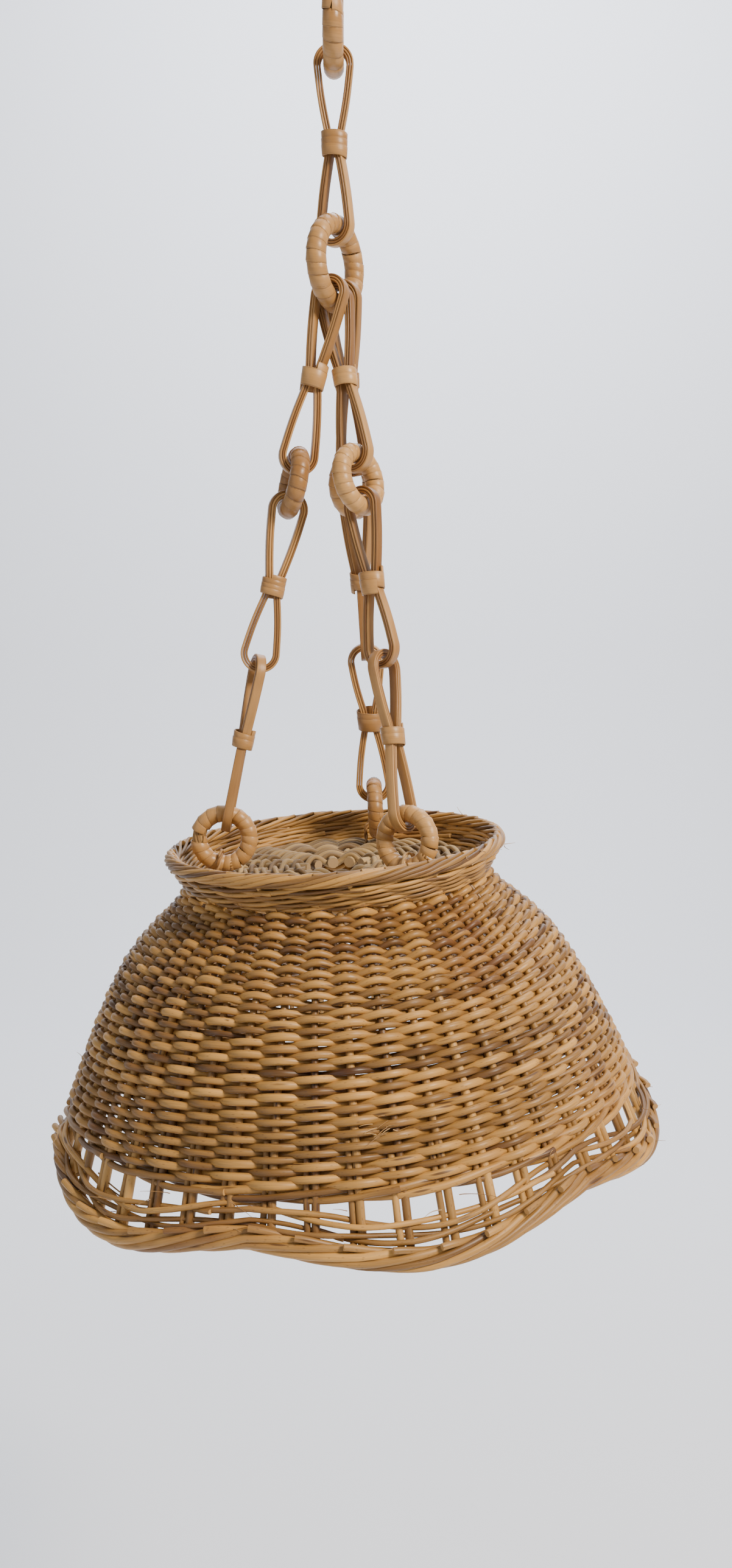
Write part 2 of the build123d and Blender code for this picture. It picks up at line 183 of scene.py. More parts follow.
def makeFinish(name, look, strip=False):
    material = bpy.data.materials.new(name)
    material.use_nodes = True
    tree = material.node_tree
    shader = tree.nodes["Principled BSDF"]
    grain = addNode(tree, "ShaderNodeAttribute", attribute_name="grain").outputs["Vector"]
    tone = addNode(tree, "ShaderNodeAttribute", attribute_name="tone").outputs["Fac"]
    cut = addNode(tree, "ShaderNodeAttribute", attribute_name="cutEnd").outputs["Fac"]
    place = addNode(tree, "ShaderNodeTexCoord").outputs["Object"]

    alongFibre = addNode(tree, "ShaderNodeVectorMath", {0: grain, 1: fibreGrain}, operation="MULTIPLY")
    fibre = addNode(tree, "ShaderNodeTexNoise", {"Vector": alongFibre, "Scale": 1.0, "Detail": 3.0, "Roughness": 0.6})
    alongPatch = addNode(tree, "ShaderNodeVectorMath", {0: grain, 1: patchGrain}, operation="MULTIPLY")
    patch = addNode(tree, "ShaderNodeTexNoise", {"Vector": alongPatch, "Scale": 1.0, "Detail": 2.0})
    toned = addNode(tree, "ShaderNodeMath", {0: tone, 1: 0.62, 2: -0.12}, operation="MULTIPLY_ADD")
    mixed = addNode(tree, "ShaderNodeMath", {0: patch, 1: 0.62, 2: toned}, operation="MULTIPLY_ADD", use_clamp=True)
    ramp = addNode(tree, "ShaderNodeValToRGB", {"Fac": mixed})
    stops = ramp.color_ramp.elements
    for position, colour in zip((0.08, 0.36, 0.64, 0.92), look["tones"]):
        stop = stops[0] if position == 0.08 else stops[1] if position == 0.92 else stops.new(position)
        stop.position, stop.color = position, linearColour(colour)

    stainMap = addNode(tree, "ShaderNodeTexNoise", {"Vector": place, "Scale": 17.0, "Detail": 3.0, "Roughness": 0.6})
    stain = addNode(tree, "ShaderNodeMapRange", {"Value": stainMap, "From Min": 0.5, "From Max": 0.72,
                                                  "To Min": 0.0, "To Max": look["stainShare"]})
    stained = addNode(tree, "ShaderNodeMix", {"Factor": stain.outputs[0], 6: ramp.outputs[0],
                                               7: linearColour(look["stain"])}, data_type="RGBA")
    lines = addNode(tree, "ShaderNodeMapRange", {"Value": fibre, "From Min": 0.3, "From Max": 0.7,
                                                  "To Min": 1.0 - look["fibre"], "To Max": 1.0 + 0.5 * look["fibre"]})
    fibred = addNode(tree, "ShaderNodeVectorMath", {0: stained.outputs[2], "Scale": lines}, operation="SCALE")

    alongScar = addNode(tree, "ShaderNodeVectorMath", {0: grain, 1: scarGrain}, operation="MULTIPLY")
    scarCells = addNode(tree, "ShaderNodeTexVoronoi", {"Vector": alongScar, "Scale": 1.0, "Randomness": 1.0})
    scar = addNode(tree, "ShaderNodeMapRange", {"Value": scarCells.outputs["Distance"], "From Min": 0.10,
                                                 "From Max": 0.17, "To Min": 0.8, "To Max": 0.0})
    alongSpeck = addNode(tree, "ShaderNodeVectorMath", {0: grain, 1: speckGrain}, operation="MULTIPLY")
    speckCells = addNode(tree, "ShaderNodeTexVoronoi", {"Vector": alongSpeck, "Scale": 1.0})
    speck = addNode(tree, "ShaderNodeMapRange", {"Value": speckCells.outputs["Distance"], "From Min": 0.12,
                                                  "From Max": 0.2, "To Min": 0.4, "To Max": 0.0})
    marks = addNode(tree, "ShaderNodeMath", {0: scar, 1: speck}, operation="MAXIMUM")
    finished = fibred
    if not strip:
        marked = addNode(tree, "ShaderNodeMix", {"Factor": marks.outputs[0], 6: fibred.outputs[0],
                                                  7: linearColour(look["scar"])}, data_type="RGBA")
        ended = addNode(tree, "ShaderNodeMix", {"Factor": cut, 6: marked.outputs[2],
                                                 7: linearColour(look["pith"])}, data_type="RGBA")
        finished = ended.outputs[2]
    if strip:  # the edges of a strip are darkened: painted shade in the gaps where it meets the next turn and the next ply
        edge = addNode(tree, "ShaderNodeAttribute", attribute_name="edge").outputs["Vector"]
        whole = addNode(tree, "ShaderNodeVectorMath", {0: edge}, operation="ABSOLUTE")
        apart = addNode(tree, "ShaderNodeSeparateXYZ", {0: whole})
        outer = addNode(tree, "ShaderNodeMapRange", {"Value": apart.outputs[0], "From Min": 0.55,
                                                      "From Max": 0.95, "To Min": 0.0, "To Max": 0.85})
        border = addNode(tree, "ShaderNodeMapRange", {"Value": apart.outputs[1], "From Min": 1.0 - look["edgeShadeWidth"],
                                                       "From Max": 1.0, "To Min": 0.0, "To Max": 1.0})
        shade = addNode(tree, "ShaderNodeMath", {0: outer, 1: border}, operation="MULTIPLY")
        # painted shade: the strip's edges mixed towards a near-black brown
        edged = addNode(tree, "ShaderNodeMix", {"Factor": shade.outputs[0], 6: fibred.outputs[0],
                                                 7: linearColour(look["edge"])}, data_type="RGBA")
        finished = edged.outputs[2]
    tree.links.new(finished if isinstance(finished, bpy.types.NodeSocket) else finished.outputs[0],
                   shader.inputs["Base Color"])
    low, high = look["roughness"]
    gloss = addNode(tree, "ShaderNodeMapRange", {"Value": patch, "From Min": 0.3, "From Max": 0.7,
                                                  "To Min": low, "To Max": high})
    tree.links.new(gloss.outputs[0], shader.inputs["Roughness"])
    shader.inputs["IOR"].default_value = 1.5
    shader.inputs["Sheen Weight"].default_value = look["sheen"]
    relief = addNode(tree, "ShaderNodeMath", {0: marks, 1: -0.8, 2: fibre}, operation="MULTIPLY_ADD")
    bump = addNode(tree, "ShaderNodeBump", {"Height": relief, "Strength": 0.35, "Distance": 0.0002})
    tree.links.new(bump.outputs[0], shader.inputs["Normal"])
    return material


setCamera()
setStudio()
finishes = {name: makeFinish(name, look) for name, look in willowLooks.items()}
finishes.update({name: makeFinish(name, look, strip=True) for name, look in caneLooks.items()})
print("camera, studio and", len(finishes), "finishes made")


# node trees
def newTree(name, sockets):
    tree = bpy.data.node_groups.new(name, "GeometryNodeTree")
    tree.interface.new_socket("Geometry", in_out="INPUT", socket_type="NodeSocketGeometry")
    for label, value in sockets.items():
        kind = "NodeSocketInt" if isinstance(value, int) else "NodeSocketFloat"
        socket = tree.interface.new_socket(label, in_out="INPUT", socket_type=kind)
        socket.default_value = value
    tree.interface.new_socket("Material", in_out="INPUT", socket_type="NodeSocketMaterial")
    tree.interface.new_socket("Geometry", in_out="OUTPUT", socket_type="NodeSocketGeometry")
    return tree, tree.nodes.new("NodeGroupInput").outputs


def sweepRods(tree, given, path, section, girth):
    # lays a section along every path, keeps what the finishes read, and ends the tree
    length = addNode(tree, "GeometryNodeSplineParameter").outputs["Length"]
    measured = addNode(tree, "GeometryNodeStoreNamedAttribute", {"Geometry": path, "Name": "along", "Value": length},
                       data_type="FLOAT", domain="POINT")
    toneOf = addNode(tree, "GeometryNodeInputNamedAttribute", {"Name": "rod"}, data_type="FLOAT")
    tone = addNode(tree, "FunctionNodeRandomValue", {"ID": toneOf, "Seed": given["Seed"]}, data_type="FLOAT")
    toned = addNode(tree, "GeometryNodeStoreNamedAttribute",
                    {"Geometry": measured, "Name": "tone", "Value": tone.outputs[1]},
                    data_type="FLOAT", domain="POINT")
    sized = addNode(tree, "GeometryNodeStoreNamedAttribute", {"Geometry": toned, "Name": "girth", "Value": girth},
                    data_type="FLOAT", domain="POINT")
    rim = addNode(tree, "GeometryNodeInputPosition")
    marked = addNode(tree, "GeometryNodeStoreNamedAttribute", {"Geometry": section, "Name": "section", "Value": rim},
                     data_type="FLOAT_VECTOR", domain="POINT")
    thick = addNode(tree, "GeometryNodeInputNamedAttribute", {"Name": "girth"}, data_type="FLOAT")
    swept = addNode(tree, "GeometryNodeCurveToMesh", {"Curve": sized, "Profile Curve": marked, "Scale": thick,
                                                       "Fill Caps": True})
    along = addNode(tree, "GeometryNodeInputNamedAttribute", {"Name": "along"}, data_type="FLOAT")
    across = addNode(tree, "GeometryNodeInputNamedAttribute", {"Name": "section"}, data_type="FLOAT_VECTOR")
    scaled = addNode(tree, "ShaderNodeVectorMath", {0: across, "Scale": thick}, operation="SCALE")
    split = addNode(tree, "ShaderNodeSeparateXYZ", {0: scaled})
    started = addNode(tree, "ShaderNodeMath", {0: toneOf, 1: 0.377, 2: along}, operation="MULTIPLY_ADD")
    grain = addNode(tree, "ShaderNodeCombineXYZ", {0: started, 1: split.outputs[0], 2: split.outputs[1]})
    grained = addNode(tree, "GeometryNodeStoreNamedAttribute", {"Geometry": swept, "Name": "grain", "Value": grain},
                      data_type="FLOAT_VECTOR", domain="POINT")
    corners = addNode(tree, "GeometryNodeInputMeshFaceNeighbors")
    isCap = addNode(tree, "ShaderNodeMath", {0: corners, 1: 4.5}, operation="GREATER_THAN")
    capped = addNode(tree, "GeometryNodeStoreNamedAttribute", {"Geometry": grained, "Name": "cutEnd", "Value": isCap},
                     data_type="FLOAT", domain="FACE")
    real = addNode(tree, "GeometryNodeRealizeInstances", {"Geometry": capped})
    coated = addNode(tree, "GeometryNodeSetMaterial", {"Geometry": real, "Material": given["Material"]})
    addNode(tree, "NodeGroupOutput", {"Geometry": coated})


bowSharpness = 0.35  # 1 gives bows that meet in a sharp notch, 0 a plain wave


def wovenRounds():
    # rods that travel round the basket's axis and pass in front of and behind its stakes
    tree, given = newTree("wovenRounds", {
        "Rods": 48, "Rods per round": 3, "Rounds": 16.0, "Stakes": 48.0, "First heading": 0.0, "Span": 16.4,
        "Step": 16.0, "Shift": 5.0, "Start": 1.0, "Points": 100, "Twist": 0.5, "Phase": 0.0, "Rod phase": 0.0,
        "Round phase": 0.5, "Depth": 0.0035, "Lift": 0.0, "Butt": 0.0018, "Tip": 0.7, "End throw": 0.0,
        "End rise": 0.0, "End share": 0.05, "Start throw": 0.0, "Sag": 0.0, "Sag heading": 0.0, "Bows": 8.0,
        "Flare": 0.3, "Unevenness": 0.0, "Sides": 8, "Seed": 1})
    line = addNode(tree, "GeometryNodeCurvePrimitiveLine", {"Start": (0, 0, 0), "End": (1, 0, 0)})
    pointed = addNode(tree, "GeometryNodeResampleCurve", {"Curve": line, "Count": given["Points"]})
    sharing = addNode(tree, "GeometryNodeSplineParameter").outputs["Factor"]
    shared = addNode(tree, "GeometryNodeStoreNamedAttribute", {"Geometry": pointed, "Name": "share", "Value": sharing},
                     data_type="FLOAT", domain="POINT")
    many = addNode(tree, "GeometryNodeDuplicateElements", {"Geometry": shared, "Amount": given["Rods"]},
                   domain="SPLINE")
    numbered = addNode(tree, "GeometryNodeStoreNamedAttribute",
                       {"Geometry": many, "Name": "rod", "Value": many.outputs[1]}, data_type="FLOAT", domain="POINT")
    rod = addNode(tree, "GeometryNodeInputNamedAttribute", {"Name": "rod"}, data_type="FLOAT")
    share = addNode(tree, "GeometryNodeInputNamedAttribute", {"Name": "share"}, data_type="FLOAT")
    nudged = addNode(tree, "ShaderNodeMath", {0: rod, 1: 0.001}, operation="ADD")
    divided = addNode(tree, "ShaderNodeMath", {0: nudged, 1: given["Rods per round"]}, operation="DIVIDE")
    level = addNode(tree, "ShaderNodeMath", {0: divided}, operation="FLOOR")
    before = addNode(tree, "ShaderNodeMath", {0: level, 1: given["Rods per round"]}, operation="MULTIPLY")
    number = addNode(tree, "ShaderNodeMath", {0: rod, 1: before}, operation="SUBTRACT")
    # where the rod is, counted in stakes
    begun = addNode(tree, "ShaderNodeMath", {0: number, 1: given["Step"], 2: given["Start"]}, operation="MULTIPLY_ADD")
    shifted = addNode(tree, "ShaderNodeMath", {0: level, 1: given["Shift"], 2: begun}, operation="MULTIPLY_ADD")
    stake = addNode(tree, "ShaderNodeMath", {0: share, 1: given["Span"], 2: shifted}, operation="MULTIPLY_ADD")
    # its turn in the weave
    turned = addNode(tree, "ShaderNodeMath", {0: stake, 1: given["Twist"], 2: given["Phase"]}, operation="MULTIPLY_ADD")
    rodTurn = addNode(tree, "ShaderNodeMath", {0: number, 1: given["Rod phase"], 2: turned}, operation="MULTIPLY_ADD")
    turn = addNode(tree, "ShaderNodeMath", {0: level, 1: given["Round phase"], 2: rodTurn}, operation="MULTIPLY_ADD")
    angle = addNode(tree, "ShaderNodeMath", {0: turn, 1: 2 * math.pi}, operation="MULTIPLY")
    front = addNode(tree, "ShaderNodeMath", {0: angle}, operation="COSINE")
    above = addNode(tree, "ShaderNodeMath", {0: angle}, operation="SINE")
    # its ends
    endStart = addNode(tree, "ShaderNodeMath", {0: 1.0, 1: given["End share"]}, operation="SUBTRACT")
    ending = addNode(tree, "ShaderNodeMapRange", {"Value": share, "From Min": endStart, "From Max": 1.0,
                                                   "To Min": 0.0, "To Max": 1.0}, interpolation_type="SMOOTHSTEP")
    starting = addNode(tree, "ShaderNodeMapRange", {"Value": share, "From Min": 0.0, "From Max": given["End share"],
                                                     "To Min": 1.0, "To Max": 0.0}, interpolation_type="SMOOTHSTEP")
    endOut = addNode(tree, "ShaderNodeMath", {0: ending, 1: given["End throw"]}, operation="MULTIPLY")
    bothOut = addNode(tree, "ShaderNodeMath", {0: starting, 1: given["Start throw"], 2: endOut},
                      operation="MULTIPLY_ADD")
    outward = addNode(tree, "ShaderNodeMath", {0: front, 1: given["Depth"], 2: bothOut}, operation="MULTIPLY_ADD")
    endUp = addNode(tree, "ShaderNodeMath", {0: ending, 1: given["End rise"]}, operation="MULTIPLY")
    lifted = addNode(tree, "ShaderNodeMath", {0: above, 1: given["Lift"], 2: endUp}, operation="MULTIPLY_ADD")
    # heading and the wall under it
    perStake = addNode(tree, "ShaderNodeMath", {0: 2 * math.pi, 1: given["Stakes"]}, operation="DIVIDE")
    heading = addNode(tree, "ShaderNodeMath", {0: stake, 1: perStake, 2: given["First heading"]},
                      operation="MULTIPLY_ADD")
    cosine = addNode(tree, "ShaderNodeMath", {0: heading}, operation="COSINE")
    sine = addNode(tree, "ShaderNodeMath", {0: heading}, operation="SINE")
    middle = addNode(tree, "ShaderNodeMath", {0: level, 1: 0.5}, operation="ADD")
    height = addNode(tree, "ShaderNodeMath", {0: middle, 1: given["Rounds"]}, operation="DIVIDE")
    outline = addNode(tree, "GeometryNodeMeshToCurve", {"Mesh": given["Geometry"]})
    wall = addNode(tree, "GeometryNodeSampleCurve", {"Curves": outline, "Factor": height}, mode="FACTOR",
                   use_all_curves=True)
    spot = addNode(tree, "ShaderNodeSeparateXYZ", {0: wall.outputs["Position"]})
    slope = addNode(tree, "ShaderNodeSeparateXYZ", {0: wall.outputs["Tangent"]})
    # slow waves in the rows, and a small wander of each rod
    flat = addNode(tree, "ShaderNodeCombineXYZ", {0: cosine, 1: sine, 2: height})
    wave = addNode(tree, "ShaderNodeTexNoise", {"Vector": flat, "W": given["Seed"], "Scale": 4.0, "Detail": 2.0},
                   noise_dimensions="4D")
    ownPlace = addNode(tree, "ShaderNodeCombineXYZ", {0: stake, 1: rod, 2: given["Seed"]})
    wander = addNode(tree, "ShaderNodeTexNoise", {"Vector": ownPlace, "Scale": 0.71, "Detail": 1.0})
    waved = addNode(tree, "ShaderNodeMath", {0: wave, 1: 2.2, 2: -1.6}, operation="MULTIPLY_ADD")
    wandered = addNode(tree, "ShaderNodeMath", {0: wander, 1: 1.0, 2: waved}, operation="MULTIPLY_ADD")
    raised = addNode(tree, "ShaderNodeMath", {0: wandered, 1: given["Unevenness"], 2: lifted},
                     operation="MULTIPLY_ADD")
    radiusUp = addNode(tree, "ShaderNodeMath", {0: slope.outputs[0], 1: raised, 2: spot.outputs[0]},
                       operation="MULTIPLY_ADD")
    radius = addNode(tree, "ShaderNodeMath", {0: slope.outputs[2], 1: outward, 2: radiusUp}, operation="MULTIPLY_ADD")
    inward = addNode(tree, "ShaderNodeMath", {0: outward, 1: -1.0}, operation="MULTIPLY")
    rise = addNode(tree, "ShaderNodeMath", {0: slope.outputs[2], 1: raised, 2: spot.outputs[2]},
                   operation="MULTIPLY_ADD")
    height2 = addNode(tree, "ShaderNodeMath", {0: slope.outputs[0], 1: inward, 2: rise}, operation="MULTIPLY_ADD")
    # bows of the scalloped edge
    bowArc = addNode(tree, "ShaderNodeMath", {0: 2 * math.pi, 1: given["Bows"]}, operation="DIVIDE")
    halfArc = addNode(tree, "ShaderNodeMath", {0: bowArc, 1: 0.5}, operation="MULTIPLY")
    minusHalf = addNode(tree, "ShaderNodeMath", {0: bowArc, 1: -0.5}, operation="MULTIPLY")
    fromMiddle = addNode(tree, "ShaderNodeMath", {0: heading, 1: given["Sag heading"]}, operation="SUBTRACT")
    wrapped = addNode(tree, "ShaderNodeMath", {0: fromMiddle, 1: halfArc, 2: minusHalf}, operation="WRAP")
    ofArc = addNode(tree, "ShaderNodeMath", {0: wrapped, 1: bowArc}, operation="DIVIDE")
    squared = addNode(tree, "ShaderNodeMath", {0: ofArc, 1: ofArc}, operation="MULTIPLY")
    sharp = addNode(tree, "ShaderNodeMath", {0: squared, 1: 8.0 * bowSharpness, 2: -bowSharpness},
                    operation="MULTIPLY_ADD")
    fullTurn = addNode(tree, "ShaderNodeMath", {0: ofArc, 1: 2 * math.pi}, operation="MULTIPLY")
    softly = addNode(tree, "ShaderNodeMath", {0: fullTurn}, operation="COSINE")
    bowed = addNode(tree, "ShaderNodeMath", {0: softly, 1: bowSharpness - 1.0, 2: sharp}, operation="MULTIPLY_ADD")
    sag = addNode(tree, "ShaderNodeMath", {0: bowed, 1: given["Sag"]}, operation="MULTIPLY")
    finalHeight = addNode(tree, "ShaderNodeMath", {0: height2, 1: sag}, operation="ADD")
    flared = addNode(tree, "ShaderNodeMath", {0: sag, 1: given["Flare"]}, operation="MULTIPLY")
    finalRadius = addNode(tree, "ShaderNodeMath", {0: radius, 1: flared}, operation="SUBTRACT")
    x = addNode(tree, "ShaderNodeMath", {0: finalRadius, 1: cosine}, operation="MULTIPLY")
    y = addNode(tree, "ShaderNodeMath", {0: finalRadius, 1: sine}, operation="MULTIPLY")
    place = addNode(tree, "ShaderNodeCombineXYZ", {0: x, 1: y, 2: finalHeight})
    placed = addNode(tree, "GeometryNodeSetPosition", {"Geometry": numbered, "Position": place})
    # thick at the butt, thin at the tip, and no two rods alike
    loss = addNode(tree, "ShaderNodeMath", {0: given["Tip"], 1: -1.0}, operation="ADD")
    taper = addNode(tree, "ShaderNodeMath", {0: loss, 1: share, 2: 1.0}, operation="MULTIPLY_ADD")
    own = addNode(tree, "FunctionNodeRandomValue", {2: 0.88, 3: 1.1, "ID": rod, "Seed": given["Seed"]},
                  data_type="FLOAT")
    butt = addNode(tree, "ShaderNodeMath", {0: own.outputs[1], 1: given["Butt"]}, operation="MULTIPLY")
    girth = addNode(tree, "ShaderNodeMath", {0: butt, 1: taper}, operation="MULTIPLY")
    section = addNode(tree, "GeometryNodeCurvePrimitiveCircle", {"Resolution": given["Sides"], "Radius": 1.0})
    sweepRods(tree, given, placed, section, girth)
    return tree


def setStakes():
    # rods that stand side by side round the axis and follow the wall's outline
    tree, given = newTree("setStakes", {
        "Count": 48, "First heading": 0.0, "From": 0.0, "To": 1.0, "Uneven top": 0.0, "Points": 40, "Butt": 0.0023,
        "Tip": 0.8, "Set out": 0.0, "Sag": 0.0, "Sag heading": 0.0, "Bows": 8.0, "Flare": 0.3, "Sag from": 0.033,
        "Sag full": 0.006, "Unevenness": 0.0, "Sides": 10, "Seed": 1})
    line = addNode(tree, "GeometryNodeCurvePrimitiveLine", {"Start": (0, 0, 0), "End": (1, 0, 0)})
    pointed = addNode(tree, "GeometryNodeResampleCurve", {"Curve": line, "Count": given["Points"]})
    sharing = addNode(tree, "GeometryNodeSplineParameter").outputs["Factor"]
    shared = addNode(tree, "GeometryNodeStoreNamedAttribute", {"Geometry": pointed, "Name": "share", "Value": sharing},
                     data_type="FLOAT", domain="POINT")
    many = addNode(tree, "GeometryNodeDuplicateElements", {"Geometry": shared, "Amount": given["Count"]},
                   domain="SPLINE")
    numbered = addNode(tree, "GeometryNodeStoreNamedAttribute",
                       {"Geometry": many, "Name": "rod", "Value": many.outputs[1]}, data_type="FLOAT", domain="POINT")
    rod = addNode(tree, "GeometryNodeInputNamedAttribute", {"Name": "rod"}, data_type="FLOAT")
    share = addNode(tree, "GeometryNodeInputNamedAttribute", {"Name": "share"}, data_type="FLOAT")
    short = addNode(tree, "FunctionNodeRandomValue", {2: 0.0, 3: given["Uneven top"], "ID": rod,
                                                       "Seed": given["Seed"]}, data_type="FLOAT")
    top = addNode(tree, "ShaderNodeMath", {0: given["To"], 1: short.outputs[1]}, operation="SUBTRACT")
    along = addNode(tree, "ShaderNodeMapRange", {"Value": share, "From Min": 0.0, "From Max": 1.0,
                                                  "To Min": given["From"], "To Max": top})
    outline = addNode(tree, "GeometryNodeMeshToCurve", {"Mesh": given["Geometry"]})
    wall = addNode(tree, "GeometryNodeSampleCurve", {"Curves": outline, "Factor": along}, mode="FACTOR",
                   use_all_curves=True)
    spot = addNode(tree, "ShaderNodeSeparateXYZ", {0: wall.outputs["Position"]})
    slope = addNode(tree, "ShaderNodeSeparateXYZ", {0: wall.outputs["Tangent"]})
    perRod = addNode(tree, "ShaderNodeMath", {0: 2 * math.pi, 1: given["Count"]}, operation="DIVIDE")
    heading = addNode(tree, "ShaderNodeMath", {0: rod, 1: perRod, 2: given["First heading"]}, operation="MULTIPLY_ADD")
    ownPlace = addNode(tree, "ShaderNodeCombineXYZ", {0: share, 1: rod, 2: given["Seed"]})
    wander = addNode(tree, "ShaderNodeTexNoise", {"Vector": ownPlace, "Scale": 2.3, "Detail": 1.0})
    centred = addNode(tree, "ShaderNodeMath", {0: wander, 1: 0.5}, operation="SUBTRACT")
    swing = addNode(tree, "ShaderNodeMath", {0: centred, 1: given["Unevenness"]}, operation="MULTIPLY")
    swung = addNode(tree, "ShaderNodeMath", {0: heading, 1: swing}, operation="ADD")
    cosine = addNode(tree, "ShaderNodeMath", {0: swung}, operation="COSINE")
    sine = addNode(tree, "ShaderNodeMath", {0: swung}, operation="SINE")
    radius = addNode(tree, "ShaderNodeMath", {0: slope.outputs[2], 1: given["Set out"], 2: spot.outputs[0]},
                     operation="MULTIPLY_ADD")
    setIn = addNode(tree, "ShaderNodeMath", {0: given["Set out"], 1: -1.0}, operation="MULTIPLY")
    height = addNode(tree, "ShaderNodeMath", {0: slope.outputs[0], 1: setIn, 2: spot.outputs[2]},
                     operation="MULTIPLY_ADD")
    bowArc = addNode(tree, "ShaderNodeMath", {0: 2 * math.pi, 1: given["Bows"]}, operation="DIVIDE")
    halfArc = addNode(tree, "ShaderNodeMath", {0: bowArc, 1: 0.5}, operation="MULTIPLY")
    minusHalf = addNode(tree, "ShaderNodeMath", {0: bowArc, 1: -0.5}, operation="MULTIPLY")
    fromMiddle = addNode(tree, "ShaderNodeMath", {0: heading, 1: given["Sag heading"]}, operation="SUBTRACT")
    wrapped = addNode(tree, "ShaderNodeMath", {0: fromMiddle, 1: halfArc, 2: minusHalf}, operation="WRAP")
    ofArc = addNode(tree, "ShaderNodeMath", {0: wrapped, 1: bowArc}, operation="DIVIDE")
    squared = addNode(tree, "ShaderNodeMath", {0: ofArc, 1: ofArc}, operation="MULTIPLY")
    sharp = addNode(tree, "ShaderNodeMath", {0: squared, 1: 8.0 * bowSharpness, 2: -bowSharpness},
                    operation="MULTIPLY_ADD")
    fullTurn = addNode(tree, "ShaderNodeMath", {0: ofArc, 1: 2 * math.pi}, operation="MULTIPLY")
    softly = addNode(tree, "ShaderNodeMath", {0: fullTurn}, operation="COSINE")
    bowed = addNode(tree, "ShaderNodeMath", {0: softly, 1: bowSharpness - 1.0, 2: sharp}, operation="MULTIPLY_ADD")
    fullSag = addNode(tree, "ShaderNodeMath", {0: bowed, 1: given["Sag"]}, operation="MULTIPLY")
    weight = addNode(tree, "ShaderNodeMapRange", {"Value": height, "From Min": given["Sag from"],
                                                   "From Max": given["Sag full"], "To Min": 0.0, "To Max": 1.0})
    sag = addNode(tree, "ShaderNodeMath", {0: fullSag, 1: weight}, operation="MULTIPLY")
    finalHeight = addNode(tree, "ShaderNodeMath", {0: height, 1: sag}, operation="ADD")
    flared = addNode(tree, "ShaderNodeMath", {0: sag, 1: given["Flare"]}, operation="MULTIPLY")
    finalRadius = addNode(tree, "ShaderNodeMath", {0: radius, 1: flared}, operation="SUBTRACT")
    x = addNode(tree, "ShaderNodeMath", {0: finalRadius, 1: cosine}, operation="MULTIPLY")
    y = addNode(tree, "ShaderNodeMath", {0: finalRadius, 1: sine}, operation="MULTIPLY")
    place = addNode(tree, "ShaderNodeCombineXYZ", {0: x, 1: y, 2: finalHeight})
    placed = addNode(tree, "GeometryNodeSetPosition", {"Geometry": numbered, "Position": place})
    loss = addNode(tree, "ShaderNodeMath", {0: given["Tip"], 1: -1.0}, operation="ADD")
    taper = addNode(tree, "ShaderNodeMath", {0: loss, 1: share, 2: 1.0}, operation="MULTIPLY_ADD")
    own = addNode(tree, "FunctionNodeRandomValue", {2: 0.9, 3: 1.08, "ID": rod, "Seed": given["Seed"]},
                  data_type="FLOAT")
    butt = addNode(tree, "ShaderNodeMath", {0: own.outputs[1], 1: given["Butt"]}, operation="MULTIPLY")
    girth = addNode(tree, "ShaderNodeMath", {0: butt, 1: taper}, operation="MULTIPLY")
    section = addNode(tree, "GeometryNodeCurvePrimitiveCircle", {"Resolution": given["Sides"], "Radius": 1.0})
    sweepRods(tree, given, placed, section, girth)
    return tree


